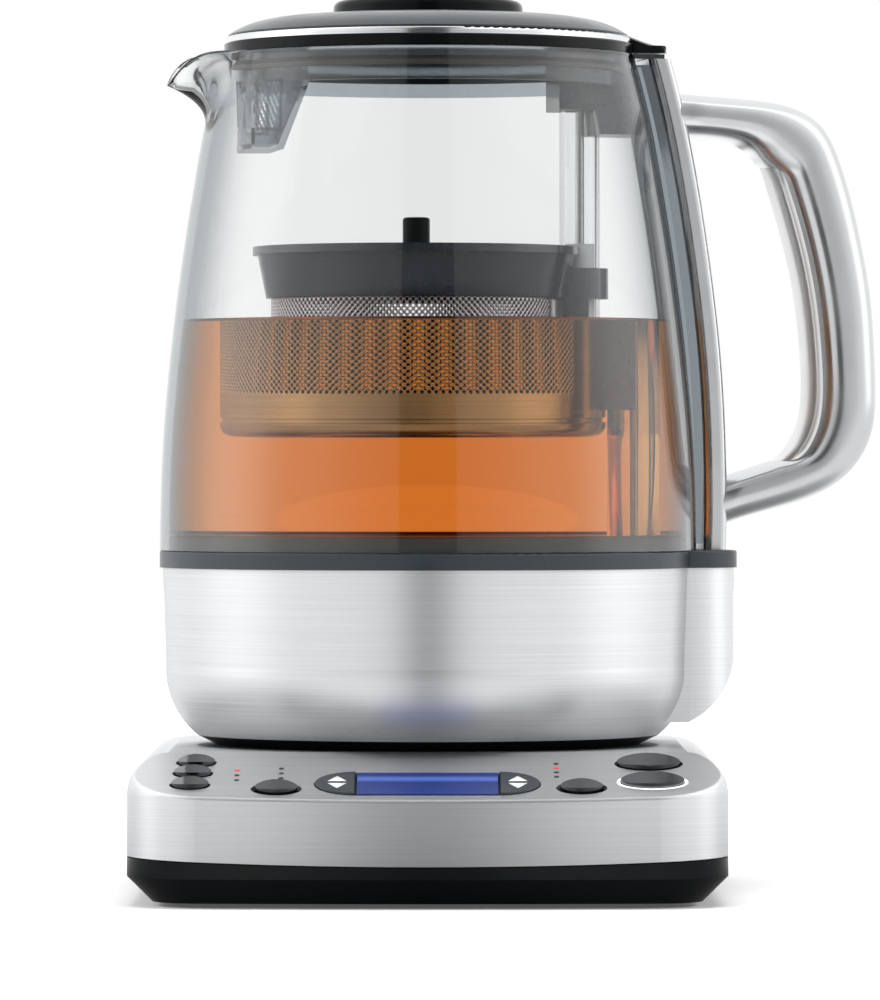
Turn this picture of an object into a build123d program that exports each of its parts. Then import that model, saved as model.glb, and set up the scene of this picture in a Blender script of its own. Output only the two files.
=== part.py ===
from build123d import *
from math import atan2, cos, hypot, radians, sin
import os

os.makedirs("parts", exist_ok=True)

# An automatic tea maker: a glass jug with a heated steel foot stands on a powered base,
# and a perforated tea basket rides up and down a clear post inside the jug.
# Millimetres. The origin is on the counter, on the jug's axis. +X is to the right of the
# controls, -Y is the front and +Z is up. The jug is turned a little on its base.

# ---------------------------------------------------------------- clearances
running_gap = 0.08       # a shaft in its bore, on the radius
sliding_gap = 0.35       # between faces that pass each other
nest_gap = 0.1           # between curved faces of pieces that stay together

# ---------------------------------------------------------------- base: driving dimensions
base_half_width = 94.7
base_front = 114.5       # jug axis to the middle of the front
base_back = 92.0         # jug axis to the back
base_front_bow = 5.0     # how far the front bows between its corners
base_corner = 24.0
deck_height = 47.6       # the flat that the jug stands on
deck_front = 72.0        # jug axis to the edge where the control panel starts
crease_height = 34.2     # where the control panel meets the front band
crease_round = 1.2
shoulder_round = 12.4
cover_wall = 1.5
seam_height = 13.1       # cover to tray, in the middle
seam_rise = 2.4          # how much higher the seam is at the sides
seam_gap = 0.4
tray_wall = 2.2
tray_floor = 2.6
tray_chamfer = 8.0
tray_lip = 3.0           # inner lip of the tray inside the cover
foot_lift = 1.5          # tray underside above the counter
foot_inner = 62.0
foot_outer = 70.0
foot_height = 3.0

# control panel
frame_thickness = 2.0    # plastic frame under the panel
board_depth = 12.0       # panel surface to the control board
board_thickness = 1.6
board_half_width = 78.0
button_stand = 0.9       # button top over the panel at its rim
button_dome = 0.8        # rise of the button's crown
button_travel = 1.0
button_flange = 0.8      # how far the flange reaches past the key
button_flange_height = 1.2
switch_side = 6.0
switch_height = 3.4
switch_plunger = 0.5
frame_post_x = 37.8
frame_post_radius = 2.2
frame_screw_radius = 1.0
frame_screw_length = 6.0
rocker_pin_radius = 1.0
rocker_web = 5.0
rocker_lug = 2.0
rocker_bar = 14.0
rocker_stand = 0.7       # rocker top over the panel
rocker_cap = 1.5
display_ledge = 1.2      # how far the window rests on the frame
display_stand = 0.3
display_width = 44.5
display_height = 20.0
rocker_reach = 13.0      # length of each rocker past the display
lamp_radius = 0.8
lamp_stand = 0.1
lamp_ring = 1.0          # width of the lit ring round the brew button

# name: (x, share of the way down the panel, length, width, surround)
buttons = {
    "timer_button": (-73.0, 0.22, 11.7, 7.5, 0.6),
    "warm_button": (-73.8, 0.44, 11.7, 7.5, 0.6),
    "basket_button": (-74.4, 0.68, 11.7, 7.5, 0.6),
    "tea_type_button": (-47.3, 0.76, 13.4, 9.0, 1.3),
    "strength_button": (48.2, 0.74, 13.4, 9.0, 1.3),
    "water_button": (69.7, 0.24, 20.0, 11.4, 0.8),
    "brew_button": (70.5, 0.62, 20.0, 11.4, lamp_ring + 0.3),
}
display_share = 0.66     # share of the way down the panel
lamp_columns = [(-59.9, (0.38, 0.48, 0.58)), (-46.0, (0.34, 0.44, 0.54)),
                (40.5, (0.24, 0.33, 0.42, 0.51))]

# base electrics
socket_radius = 26.5
socket_stand = 2.6       # socket over the deck
socket_flange = 4.0
core_radius = 12.0
core_height = 10.0       # core over the socket
spindle_radius = 7.0
socket_depth = 16.0      # socket below the cover's underside
socket_pocket = 6.0      # hollow round the core, from the socket's top
contact_ring = 1.6       # height of a contact ring
contact_depth = 1.0
gland_radius = 6.0
gland_flange = 8.2
gland_bore = 3.4
gland_x = -52.0
gland_height = 26.0
gland_length = 14.0
gland_lip = 1.6
base_screw_radius = 1.6
base_screw_head = 3.0
base_screw_length = 19.0
base_screw_recess = 2.5
base_screw_x = 78.0
base_screw_front = 62.0
base_screw_back = 74.0
base_post_radius = 4.2
base_post_top = 18.0     # where the tray's posts meet the cover's bosses
power_board_height = 9.0
power_board_centre = (-30.0, 55.0)
power_board_size = (70.0, 44.0)
power_post_radius = 2.5
relay_size = (15.0, 20.0)
relay_height = 16.0
transformer_core = (26.0, 20.0)
transformer_height = 18.0
buzzer_radius = 6.0

# ---------------------------------------------------------------- jug: driving dimensions
jug_turn = 10.0          # degrees, handle turned back from +X
jug_foot = deck_height + 0.2
jug_foot_inner = 60.0
jug_foot_outer = 69.0
shell_stand = 3.4        # steel foot's lower edge over the deck
shell_bottom = deck_height + shell_stand
shell_shoulder_height = shell_bottom + 7.5
shell_turn_height = shell_bottom + 23.0
shell_top_radius = 86.6
shell_side_draft = 1.0   # how far the side leans in from the collar down to the turn
shell_shoulder_draw = 3.7    # from the turn in to the curve's middle
shell_bottom_draw = 10.1     # from the turn in to the bottom edge
shell_side_radius = shell_top_radius - shell_side_draft
shell_shoulder_radius = shell_side_radius - shell_shoulder_draw
shell_bottom_radius = shell_side_radius - shell_bottom_draw
shell_wall = 1.2
bottom_wall = 2.2
ear_reach = 98.0         # jug axis to the ear's end
ear_half_width = 35.0
ear_corner = 18.0
ear_turn_height = shell_bottom + 27.0
ear_middle_radius = 92.5
ear_middle_height = shell_bottom + 15.0
ear_bottom_radius = 79.5
ear_bottom = shell_bottom + 4.4
ear_root = 20.0          # where the ear starts, inside the foot
collar_bottom = shell_bottom + 54.4
collar_top = collar_bottom + 5.6
collar_bulge = 1.0
collar_round = 0.8
connector_radius = 25.0
connector_neck = 19.0
glass_wall = 2.8
glass_radius = 87.6      # at the collar
glass_height = 160.5
glass_top = collar_top + glass_height
# curves of the jug and its handle: distance from the jug's axis and height over the collar
glass_profile = [(glass_radius, 0.0), (86.9, 29.0), (84.6, 59.0), (80.8, 91.0), (75.6, 124.0),
                 (72.5, 140.5), (67.5, glass_height)]
# spout sections: distance from the axis, top and bottom below the glass's top, half width
spout_sections = [(62.0, 0.0, 25.5, 21.0), (74.0, 0.5, 18.1, 15.0), (80.6, 3.7, 12.5, 8.0),
                  (86.0, 9.7, 12.1, 3.2)]
strap_thickness = 7.5
strap_half_width = 12.5
strap_round = 2.5
strap_profile = [(97.3, 0.0), (97.4, 29.0), (95.2, 68.0), (91.9, 95.0), (85.5, 133.0),
                 (78.8, glass_height)]
strap_root = 40.0        # inner limit of the strap's side outline
overcut = 20.0           # how far a side outline runs past the curve it holds
pad_half_width = 10.0
spout_wall = 2.4
spout_lift = 8.0         # how far the spout's channel is cut past its top edge
# the handle's side outline
handle_outer = [(80.0, 149.8), (101.8, 148.2), (118.0, 146.2), (128.9, 141.4), (136.0, 130.5),
                (142.5, 108.8), (147.6, 81.0), (149.0, 57.0), (146.6, 35.0), (137.0, 22.5),
                (120.0, 14.7), (103.5, 10.0), (84.0, 4.5)]
handle_inner = [(80.0, 135.2), (97.5, 134.2), (106.0, 131.0), (112.0, 123.0), (117.5, 107.0),
                (122.4, 87.0), (125.0, 64.0), (124.6, 43.4), (118.7, 32.3), (103.5, 25.5),
                (84.0, 20.0)]
handle_half_width = 13.0
handle_round = 8.0
insert_thickness = 4.0
insert_step = 0.8        # how far the insert's sides stand back
strap_screw_top = collar_top + 142.6
strap_radius_top = 83.2
strap_screw_bottom = collar_top + 15.0
strap_radius_bottom = 97.4
handle_screw_radius = 2.0
handle_screw_head = 3.6
handle_screw_sink = 3.5
handle_screw_grip = 10.0
# the bracket's side outline: distance from the jug's axis and height over the glass's top
bracket_outline = [(41.5, -17.0), (54.0, -17.0), (55.0, -24.9), (75.0, -24.9), (75.0, 8.5),
                   (41.5, 8.5)]
bracket_half_width = 11.0
bracket_tab = 1.5
bracket_tab_start = 50.0
bracket_tab_end = 77.0

# heating and lift drive
plate_radius = 79.2
plate_seat = 5.0         # ledge that carries the heating plate
plate_bottom = collar_top - 1.1
plate_wall = 2.0
plate_rim_top = collar_top + 4.2
element_radius = 58.0
element_width = 8.0
element_height = 7.0
element_opening = 35.0   # degrees left open each side of the post
terminal_radius = 1.5
thermostat_radius = 10.0
post_offset = 50.6       # jug axis to the lift post
post_radius = 6.7
post_wall = 1.5
post_top = glass_top - 13.5
seal_flange = 1.5
screw_radius = 1.5
motor_radius = 12.0
motor_length = 30.0
motor_bore = 6.0
motor_cup_height = 8.0
motor_cup_wall = 1.6
coupling_length = 12.0
carriage_bottom = collar_top + 76.0
carriage_height = 24.0

# ---------------------------------------------------------------- lid: driving dimensions
skirt_radius = 62.6
skirt_wall = 1.8
skirt_bottom = glass_top - 10.0
skirt_floor = 1.5
skirt_groove = 0.9
skirt_seal_height = skirt_bottom + 4.5
seal_width = 3.0
seal_reach = 1.2
pocket_bottom = skirt_bottom - 20.8
pocket_bottom_reach = 50.0   # jug axis to the pocket's lower inner edge
pocket_top_reach = 42.0
pocket_half_width = 17.0
pocket_wall = 1.6
filter_middle = 54.6
filter_height = skirt_bottom - 6.5
filter_length = 6.5
filter_width = 15.0
filter_sheet = 0.6
filter_pitch = 2.0
filter_holes = (3, 7)
rim_radius = 66.6
rim_inner = 55.0
rim_ledge = 1.0
rim_round = 0.4
tongue_reach = 78.0
tongue_half_width = 10.5
trim_inner = 62.0
trim_radius = 66.0
trim_height = 2.2
trim_round = 0.8
cover_radius = 65.3
lid_wall = 2.2
knob_radius = 30.9
knob_bottom = glass_top + 14.1
knob_height = 4.3
knob_round = 2.4
knob_stem_radius = 6.0

# ---------------------------------------------------------------- basket: driving dimensions
basket_offset = -3.9     # basket's axis from the jug's, towards the handle
basket_radius = 47.4
basket_sheet = 0.8
basket_bottom = collar_top + 35.6
basket_height = 56.4
basket_foot_round = 3.0
basket_collar_grip = 10.0    # how far the collar reaches down round the basket
basket_collar_wall = 1.6
basket_rim_rise = 6.6    # collar's rim over the basket's edge
basket_tube_top = basket_bottom + basket_height
basket_collar_bottom = basket_tube_top - basket_collar_grip
basket_rim = basket_tube_top + basket_rim_rise
basket_rim_radius = 53.4
basket_lid_radius = 49.0
basket_lid_height = 3.0
pin_radius = 4.45
pin_stem = 2.5
pin_rise = 9.8           # pin's top over the collar's rim
pin_top = basket_rim + pin_rise
clamp_radius = 9.4
clamp_magnet_radius = 8.2
clamp_magnet_width = 1.2
clamp_magnet_height = 7.0
guide_bottom = basket_bottom + 8.4

# ---------------------------------------------------------------- planes
panel_slope = atan2(deck_height - crease_height, base_front - deck_front)
panel_length = (base_front - deck_front) / cos(panel_slope)
panel = Plane(origin=(0, -deck_front, deck_height), x_dir=(1, 0, 0),
              z_dir=(0, -sin(panel_slope), cos(panel_slope)))

turn = radians(jug_turn)
jug_plan = Plane(origin=(0, 0, 0), x_dir=(cos(turn), sin(turn), 0), z_dir=(0, 0, 1))
jug_side = Plane(origin=(0, 0, 0), x_dir=(cos(turn), sin(turn), 0),
                 z_dir=(sin(turn), -cos(turn), 0))

power_board_posts = [(power_board_centre[0] + sx * (power_board_size[0] / 2 - 5),
                      power_board_centre[1] + sy * (power_board_size[1] / 2 - 5))
                     for sx in (-1, 1) for sy in (-1, 1)]


def on_panel(x, share):
    """A place on the panel, by its distance from the middle and its share of the slope."""
    return (x, -share * panel_length)


# ---------------------------------------------------------------- base shapes
def base_plan(height, inset):
    """The base's outline at a height: bowed front, straight sides, round corners."""
    half = base_half_width - inset
    front = inset - base_front
    shoulder = front + base_front_bow
    back = base_back - inset
    with BuildSketch(Plane.XY.offset(height)) as plan:
        with BuildLine():
            ThreePointArc((-half, shoulder), (0, front), (half, shoulder))
            Polyline((half, shoulder), (half, back), (-half, back), (-half, shoulder))
        make_face()
        fillet(plan.vertices(), base_corner - inset)
    return plan.sketch


def under_seam(lift):
    """Everything below the arched seam, raised by lift."""
    low = -10.0
    reach = base_half_width + 10.0
    middle = seam_height + lift
    end = middle + seam_rise * (reach / base_half_width) ** 2
    with BuildPart() as block:
        with BuildSketch(Plane.XZ):
            with BuildLine():
                ThreePointArc((-reach, end), (0, middle), (reach, end))
                Polyline((reach, end), (reach, low), (-reach, low), (-reach, end))
            make_face()
        extrude(amount=base_front + base_back, both=True)
    return block.part


def cover_form(inset):
    """The cover's shape from the counter up: round shoulders and a sloped panel."""
    with BuildPart() as form:
        extrude(base_plan(0, inset), amount=deck_height - inset)
        fillet(form.faces().sort_by(Axis.Z)[-1].edges(), shoulder_round - inset)
        with BuildSketch(panel.offset(-inset)):
            Rectangle(3 * base_half_width, 3 * panel_length)
        extrude(amount=deck_height, mode=Mode.SUBTRACT)
    return form.part


def display_outline(depth, margin):
    """The long oval that the display and its two rockers fill together."""
    with BuildSketch(panel.offset(-depth)) as oval:
        with Locations(on_panel(0, display_share)):
            Rectangle(display_width, display_height + 2 * margin)
        with Locations(on_panel(-display_width / 2, display_share),
                       on_panel(display_width / 2, display_share)):
            Ellipse(rocker_reach + margin, display_height / 2 + margin)
    return oval.sketch


# ---------------------------------------------------------------- base cover
inner_deck = deck_height - cover_wall
base_screw_places = [(-base_screw_x, -base_screw_front), (base_screw_x, -base_screw_front),
                     (-base_screw_x, base_screw_back), (base_screw_x, base_screw_back)]

with BuildPart() as base_cover:
    add(cover_form(0))
    crease = base_cover.faces().filter_by(lambda f: f.normal_at().dot(panel.z_dir) > 0.9999)[0]
    rim = crease.edges().filter_by(lambda e: e.center().Z < deck_height - shoulder_round / 2)
    fillet(rim, crease_round)
    add(cover_form(cover_wall), mode=Mode.SUBTRACT)
    with BuildSketch(Plane.XY.offset(base_post_top + nest_gap)):
        with Locations(base_screw_places):
            Circle(base_post_radius)
    extrude(amount=inner_deck - base_post_top)
    with BuildSketch(Plane.XY.offset(base_post_top)):
        with Locations(base_screw_places):
            Circle(base_screw_radius + nest_gap)
    extrude(amount=base_screw_length, mode=Mode.SUBTRACT)
    add(under_seam(seam_gap), mode=Mode.SUBTRACT)
    for x, share, length, width, surround in buttons.values():
        with BuildSketch(panel):
            with Locations(on_panel(x, share)):
                Ellipse(length / 2 + surround, width / 2 + surround)
        extrude(amount=2 * cover_wall, both=True, mode=Mode.SUBTRACT)
    extrude(display_outline(0, sliding_gap), amount=2 * cover_wall, both=True, mode=Mode.SUBTRACT)
    with BuildSketch(panel):
        for x, shares in lamp_columns:
            with Locations([on_panel(x, share) for share in shares]):
                Circle(lamp_radius + nest_gap)
    extrude(amount=2 * cover_wall, both=True, mode=Mode.SUBTRACT)
    with BuildSketch(Plane.XY.offset(inner_deck)):
        Circle(socket_radius + nest_gap)
    extrude(amount=2 * cover_wall, both=True, mode=Mode.SUBTRACT)
    with BuildSketch(Plane.XZ.offset(-base_back)):
        with Locations((gland_x, gland_height)):
            Circle(gland_radius + nest_gap)
    extrude(amount=2 * cover_wall, both=True, mode=Mode.SUBTRACT)
base_cover.part.label = "base_cover"
export_step(base_cover.part, "parts/base_cover.step")


# ---------------------------------------------------------------- base tray and foot
tray_top = seam_height + seam_rise + 6.0


def tray_form(inset, bottom):
    """The tray's shape: upright sides over a broad bottom chamfer."""
    with BuildPart() as form:
        extrude(base_plan(bottom, inset), amount=tray_top)
        chamfer(form.faces().sort_by(Axis.Z)[0].edges(), tray_chamfer)
    return form.part


with BuildPart() as lip_form:
    extrude(base_plan(0, cover_wall + sliding_gap), amount=tray_top)
    add(under_seam(tray_lip), mode=Mode.INTERSECT)

with BuildPart() as base_tray:
    add(tray_form(0, foot_lift))
    add(under_seam(0), mode=Mode.INTERSECT)
    add(lip_form.part.intersect(tray_form(0, foot_lift)))
    add(tray_form(tray_wall + cover_wall, foot_lift + tray_floor), mode=Mode.SUBTRACT)
    tray_inside = foot_lift + tray_floor
    with BuildSketch(Plane.XY.offset(tray_inside)):
        with Locations(base_screw_places):
            Circle(base_post_radius)
    extrude(amount=base_post_top - tray_inside)
    with BuildSketch(Plane.XY.offset(tray_inside)):
        with Locations(power_board_posts):
            Circle(power_post_radius)
    extrude(amount=power_board_height - tray_inside)
    with BuildSketch(Plane.XY.offset(foot_lift)):
        with Locations(base_screw_places):
            Circle(base_screw_radius + nest_gap)
    extrude(amount=base_post_top, mode=Mode.SUBTRACT)
    with BuildSketch(Plane.XY.offset(foot_lift)):
        with Locations(base_screw_places):
            Circle(base_screw_head + nest_gap)
    extrude(amount=base_screw_recess, mode=Mode.SUBTRACT)
    with BuildSketch(Plane.XY.offset(foot_lift)):
        Circle(foot_outer + nest_gap)
        Circle(foot_inner - nest_gap, mode=Mode.SUBTRACT)
    extrude(amount=foot_height - foot_lift, mode=Mode.SUBTRACT)
base_tray.part.label = "base_tray"
export_step(base_tray.part, "parts/base_tray.step")

with BuildPart() as foot_ring:
    with BuildSketch():
        Circle(foot_outer)
        Circle(foot_inner, mode=Mode.SUBTRACT)
    extrude(amount=foot_height)
foot_ring.part.label = "foot_ring"
export_step(foot_ring.part, "parts/foot_ring.step")

with BuildPart() as base_screws:
    screw_bottom = foot_lift + base_screw_recess
    with BuildSketch(Plane.XY.offset(screw_bottom)):
        with Locations(base_screw_places):
            Circle(base_screw_radius)
    extrude(amount=base_screw_length)
    with BuildSketch(Plane.XY.offset(screw_bottom)):
        with Locations(base_screw_places):
            Circle(base_screw_head)
    extrude(amount=-base_screw_head / 2)
    with BuildSketch(Plane.XY.offset(screw_bottom - base_screw_head / 2)):
        with Locations(base_screw_places):
            RegularPolygon(base_screw_radius, 6)
    extrude(amount=base_screw_head / 4, mode=Mode.SUBTRACT)
# ---------------------------------------------------------------- control panel pieces
under_cover = cover_wall                       # depths below the panel's surface
under_frame = under_cover + frame_thickness
button_bottom = under_frame + nest_gap + button_flange_height
switch_top = board_depth - switch_height - switch_plunger
rocker_pivot = under_frame + 2.0
rocker_middle = display_width / 2 + rocker_reach * 0.42
rocker_sides = {"rocker_left": -1, "rocker_right": 1}
rocker_switch_offset = rocker_bar / 2 - 1.0
frame_columns = [on_panel(x, share) for x in (-frame_post_x, frame_post_x) for share in (0.13, 0.82)]

with BuildPart() as control_frame:
    with BuildSketch(panel.offset(-under_cover)):
        with Locations(on_panel(0, 0.46)):
            RectangleRounded(2 * board_half_width, 0.8 * panel_length, 3)
    extrude(amount=-frame_thickness)
    with BuildSketch(panel.offset(-under_frame)):
        with Locations(frame_columns):
            Circle(frame_post_radius)
    extrude(amount=under_frame - board_depth)
    with BuildSketch(panel.offset(-board_depth)):
        with Locations(frame_columns):
            Circle(frame_screw_radius + nest_gap)
    extrude(amount=frame_screw_length, mode=Mode.SUBTRACT)
    for side in rocker_sides.values():
        with BuildSketch(panel.offset(-under_frame)):
            for end in (-1, 1):
                lug = side * rocker_middle + end * (rocker_web / 2 + sliding_gap + rocker_lug / 2)
                with Locations(on_panel(lug, display_share)):
                    Rectangle(rocker_lug, 6 * rocker_pin_radius)
        extrude(amount=under_frame - rocker_pivot - 2 * rocker_pin_radius)
        with BuildSketch(panel.offset(-under_cover)):
            with Locations(on_panel(side * rocker_middle, display_share)):
                Rectangle(rocker_web + 2 * sliding_gap, rocker_bar + 1.0)
        extrude(amount=-frame_thickness, mode=Mode.SUBTRACT)
        pivot = panel.location * Location((side * rocker_middle, -display_share * panel_length,
                                           -rocker_pivot))
        with Locations(pivot * Location((0, 0, 0), (0, 90, 0))):
            Cylinder(rocker_pin_radius + nest_gap / 2, rocker_web + 4 * rocker_lug,
                     mode=Mode.SUBTRACT)
    with BuildSketch(panel.offset(-under_cover)):
        with Locations(on_panel(0, display_share)):
            Rectangle(display_width - 2 * display_ledge, display_height - 2 * display_ledge)
        for x, share, length, width, surround in buttons.values():
            with Locations(on_panel(x, share)):
                Ellipse(length / 2 + sliding_gap, width / 2 + sliding_gap)
        for x, shares in lamp_columns:
            with Locations([on_panel(x, share) for share in shares]):
                Circle(lamp_radius + nest_gap)
    extrude(amount=-frame_thickness, mode=Mode.SUBTRACT)
control_frame.part.label = "control_frame"
export_step(control_frame.part, "parts/control_frame.step")

with BuildPart() as panel_screws:
    with BuildSketch(panel.offset(-board_depth - board_thickness)):
        with Locations(frame_columns):
            Circle(frame_screw_radius)
    extrude(amount=frame_screw_length - 1)
    with BuildSketch(panel.offset(-board_depth - board_thickness)):
        with Locations(frame_columns):
            Circle(2 * frame_screw_radius)
    extrude(amount=-1.6 * frame_screw_radius)
with BuildPart() as base_fasteners:
    add(base_screws.part)
    add(panel_screws.part)
base_fasteners.part.label = "base_fasteners"
export_step(base_fasteners.part, "parts/base_fasteners.step")

with BuildPart() as control_board:
    with BuildSketch(panel.offset(-board_depth)):
        with Locations(on_panel(0, 0.46)):
            Rectangle(2 * board_half_width, 0.84 * panel_length)
        with Locations(frame_columns):
            Circle(frame_screw_radius + nest_gap, mode=Mode.SUBTRACT)
    extrude(amount=-board_thickness)
control_board.part.label = "control_board"
export_step(control_board.part, "parts/control_board.step")

with BuildPart() as tact_switches:
    switch_places = [on_panel(x, share) for x, share, *_ in buttons.values()]
    for side in rocker_sides.values():
        x, y = on_panel(side * rocker_middle, display_share)
        switch_places += [(x, y - rocker_switch_offset), (x, y + rocker_switch_offset)]
    with BuildSketch(panel.offset(-board_depth)):
        with Locations(switch_places):
            Rectangle(switch_side, switch_side * 0.7)
    extrude(amount=switch_height)
    with BuildSketch(panel.offset(-board_depth + switch_height)):
        with Locations(switch_places):
            Circle(switch_side / 4)
    extrude(amount=switch_plunger)
tact_switches.part.label = "tact_switches"
export_step(tact_switches.part, "parts/tact_switches.step")

with BuildPart() as display_module:
    with BuildSketch(panel.offset(-under_cover)):
        with Locations(on_panel(0, display_share)):
            Rectangle(display_width - 2 * display_ledge - sliding_gap,
                      display_height - 2 * display_ledge - sliding_gap)
    extrude(amount=under_cover - board_depth)
display_module.part.label = "display_module"
export_step(display_module.part, "parts/display_module.step")

with BuildPart() as display_window:
    with BuildSketch(panel.offset(-under_cover)):
        with Locations(on_panel(0, display_share)):
            Rectangle(display_width - sliding_gap, display_height)
    extrude(amount=under_cover + display_stand)
    fillet(display_window.faces().sort_by(Axis.Z)[-1].edges(), display_stand)
display_window.part.label = "display_window"
export_step(display_window.part, "parts/display_window.step")

with BuildPart() as indicator_lights:
    with BuildSketch(panel.offset(-board_depth)):
        for x, shares in lamp_columns:
            with Locations([on_panel(x, share) for share in shares]):
                Circle(lamp_radius)
    extrude(amount=board_depth + lamp_stand)
indicator_lights.part.label = "indicator_lights"
export_step(indicator_lights.part, "parts/indicator_lights.step")

with BuildPart() as brew_ring:
    x, share, length, width, surround = buttons["brew_button"]
    with BuildSketch(panel.offset(-under_cover)):
        with Locations(on_panel(x, share)):
            Ellipse(length / 2 + surround - nest_gap, width / 2 + surround - nest_gap)
            Ellipse(length / 2 + sliding_gap, width / 2 + sliding_gap, mode=Mode.SUBTRACT)
    extrude(amount=under_cover + lamp_stand)
brew_ring.part.label = "brew_ring"
export_step(brew_ring.part, "parts/brew_ring.step")


# ---------------------------------------------------------------- buttons and rockers
def button_piece(x, share, length, width):
    """A crowned oval key with a flange under the frame and a stem over its switch."""
    half = length / 2
    bottom = -under_frame - nest_gap
    place = on_panel(x, share)
    across = Plane(origin=panel.from_local_coords((*place, 0)), x_dir=panel.x_dir,
                   z_dir=panel.x_dir.cross(panel.z_dir))
    with BuildPart() as piece:
        with BuildSketch(across):
            with BuildLine():
                ThreePointArc((-half, button_stand), (0, button_stand + button_dome),
                              (half, button_stand))
                Polyline((half, button_stand), (half, bottom), (-half, bottom),
                         (-half, button_stand))
            make_face()
        extrude(amount=width / 2, both=True)
        with BuildSketch(panel.offset(bottom)):
            with Locations(place):
                Ellipse(half, width / 2)
        extrude(amount=2 * under_frame, mode=Mode.INTERSECT)
        with BuildSketch(panel.offset(-button_bottom)):
            with Locations(place):
                Ellipse(half + button_flange, width / 2 + button_flange)
        extrude(amount=button_flange_height)
        with BuildSketch(panel.offset(-button_bottom)):
            with Locations(place):
                Circle(switch_side / 4)
        extrude(amount=button_bottom + button_travel + nest_gap - switch_top)
    return piece.part


for name, (x, share, length, width, surround) in buttons.items():
    button = button_piece(x, share, length, width)
    button.label = name
    export_step(button, "parts/" + name + ".step")


def rocker_piece(side):
    """Half an oval key on a web, with a bar below that reaches its two switches."""
    middle = on_panel(side * rocker_middle, display_share)
    end = on_panel(side * display_width / 2, display_share)
    edge = side * (display_width / 2 + sliding_gap)
    with BuildPart() as piece:
        with BuildSketch(panel.offset(rocker_stand - rocker_cap)):
            with Locations(end):
                Ellipse(rocker_reach, display_height / 2)
            with Locations(on_panel(edge - side * display_width / 2, display_share)):
                Rectangle(display_width, 2 * display_height, mode=Mode.SUBTRACT)
        extrude(amount=rocker_cap)
        fillet(piece.faces().filter_by(lambda f: f.normal_at().dot(panel.z_dir) > 0.99).edges(),
               rocker_cap / 3)
        with BuildSketch(panel.offset(-rocker_pivot - 2 * rocker_pin_radius)):
            with Locations(middle):
                Rectangle(rocker_web, 4 * rocker_pin_radius)
        extrude(amount=rocker_pivot + 2 * rocker_pin_radius + rocker_stand - rocker_cap)
        with BuildSketch(panel.offset(-rocker_pivot - 2 * rocker_pin_radius)):
            with Locations(middle):
                Rectangle(rocker_web, rocker_bar)
        extrude(amount=rocker_cap)
        pivot = panel.location * Location((*middle, -rocker_pivot)) * Location((0, 0, 0), (0, 90, 0))
        with Locations(pivot):
            Cylinder(rocker_pin_radius + running_gap, 2 * rocker_web, mode=Mode.SUBTRACT)
    return piece.part


for name, side in rocker_sides.items():
    rocker = rocker_piece(side)
    rocker.label = name
    export_step(rocker, "parts/" + name + ".step")

with BuildPart() as rocker_pins:
    for side in rocker_sides.values():
        pivot = panel.location * Location((side * rocker_middle, -display_share * panel_length,
                                           -rocker_pivot))
        with Locations(pivot * Location((0, 0, 0), (0, 90, 0))):
            Cylinder(rocker_pin_radius, rocker_web + 2 * sliding_gap + 2 * rocker_lug)
rocker_pins.part.label = "rocker_pins"
export_step(rocker_pins.part, "parts/rocker_pins.step")

# ---------------------------------------------------------------- power side of the base
with BuildPart() as connector_socket:
    with BuildSketch(Plane.XY.offset(inner_deck - socket_flange)):
        Circle(socket_radius + socket_flange)
    extrude(amount=socket_flange)
    with BuildSketch(Plane.XY.offset(inner_deck - socket_depth)):
        Circle(socket_radius)
    extrude(amount=socket_depth + cover_wall + socket_stand)
    fillet(connector_socket.faces().sort_by(Axis.Z)[-1].edges(), 1)
    with BuildSketch(Plane.XY.offset(deck_height + socket_stand)):
        Circle(core_radius + sliding_gap)
    extrude(amount=-socket_pocket, mode=Mode.SUBTRACT)
    with BuildSketch(Plane.XY.offset(inner_deck - socket_depth)):
        Circle(spindle_radius + running_gap)
    extrude(amount=socket_depth, mode=Mode.SUBTRACT)
connector_socket.part.label = "connector_socket"
export_step(connector_socket.part, "parts/connector_socket.step")

core_bottom = deck_height + socket_stand - socket_pocket + nest_gap
core_top = deck_height + socket_stand + core_height
ring_bands = [core_top - 3 * contact_ring, core_top - 5.5 * contact_ring]

with BuildPart() as connector_core:
    with BuildSketch(Plane.XY.offset(inner_deck - socket_depth)):
        Circle(spindle_radius)
    extrude(amount=core_top - inner_deck + socket_depth)
    with BuildSketch(Plane.XY.offset(core_bottom)):
        Circle(core_radius)
    extrude(amount=core_top - core_bottom)
    fillet(connector_core.faces().sort_by(Axis.Z)[-1].edges(), 1)
    for band in ring_bands:
        with BuildSketch(Plane.XY.offset(band)):
            Circle(core_radius + 1)
            Circle(core_radius - contact_depth, mode=Mode.SUBTRACT)
        extrude(amount=contact_ring, mode=Mode.SUBTRACT)
connector_core.part.label = "connector_core"
export_step(connector_core.part, "parts/connector_core.step")

with BuildPart() as core_contacts:
    for band in ring_bands:
        with BuildSketch(Plane.XY.offset(band)):
            Circle(core_radius)
            Circle(core_radius - contact_depth, mode=Mode.SUBTRACT)
        extrude(amount=contact_ring)
core_contacts.part.label = "core_contacts"
export_step(core_contacts.part, "parts/core_contacts.step")

with BuildPart() as power_board:
    with BuildSketch(Plane.XY.offset(power_board_height)):
        with Locations(power_board_centre):
            Rectangle(*power_board_size)
    extrude(amount=board_thickness)
power_board.part.label = "power_board"
export_step(power_board.part, "parts/power_board.step")

power_board_top = power_board_height + board_thickness
board_x, board_y = power_board_centre

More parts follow.
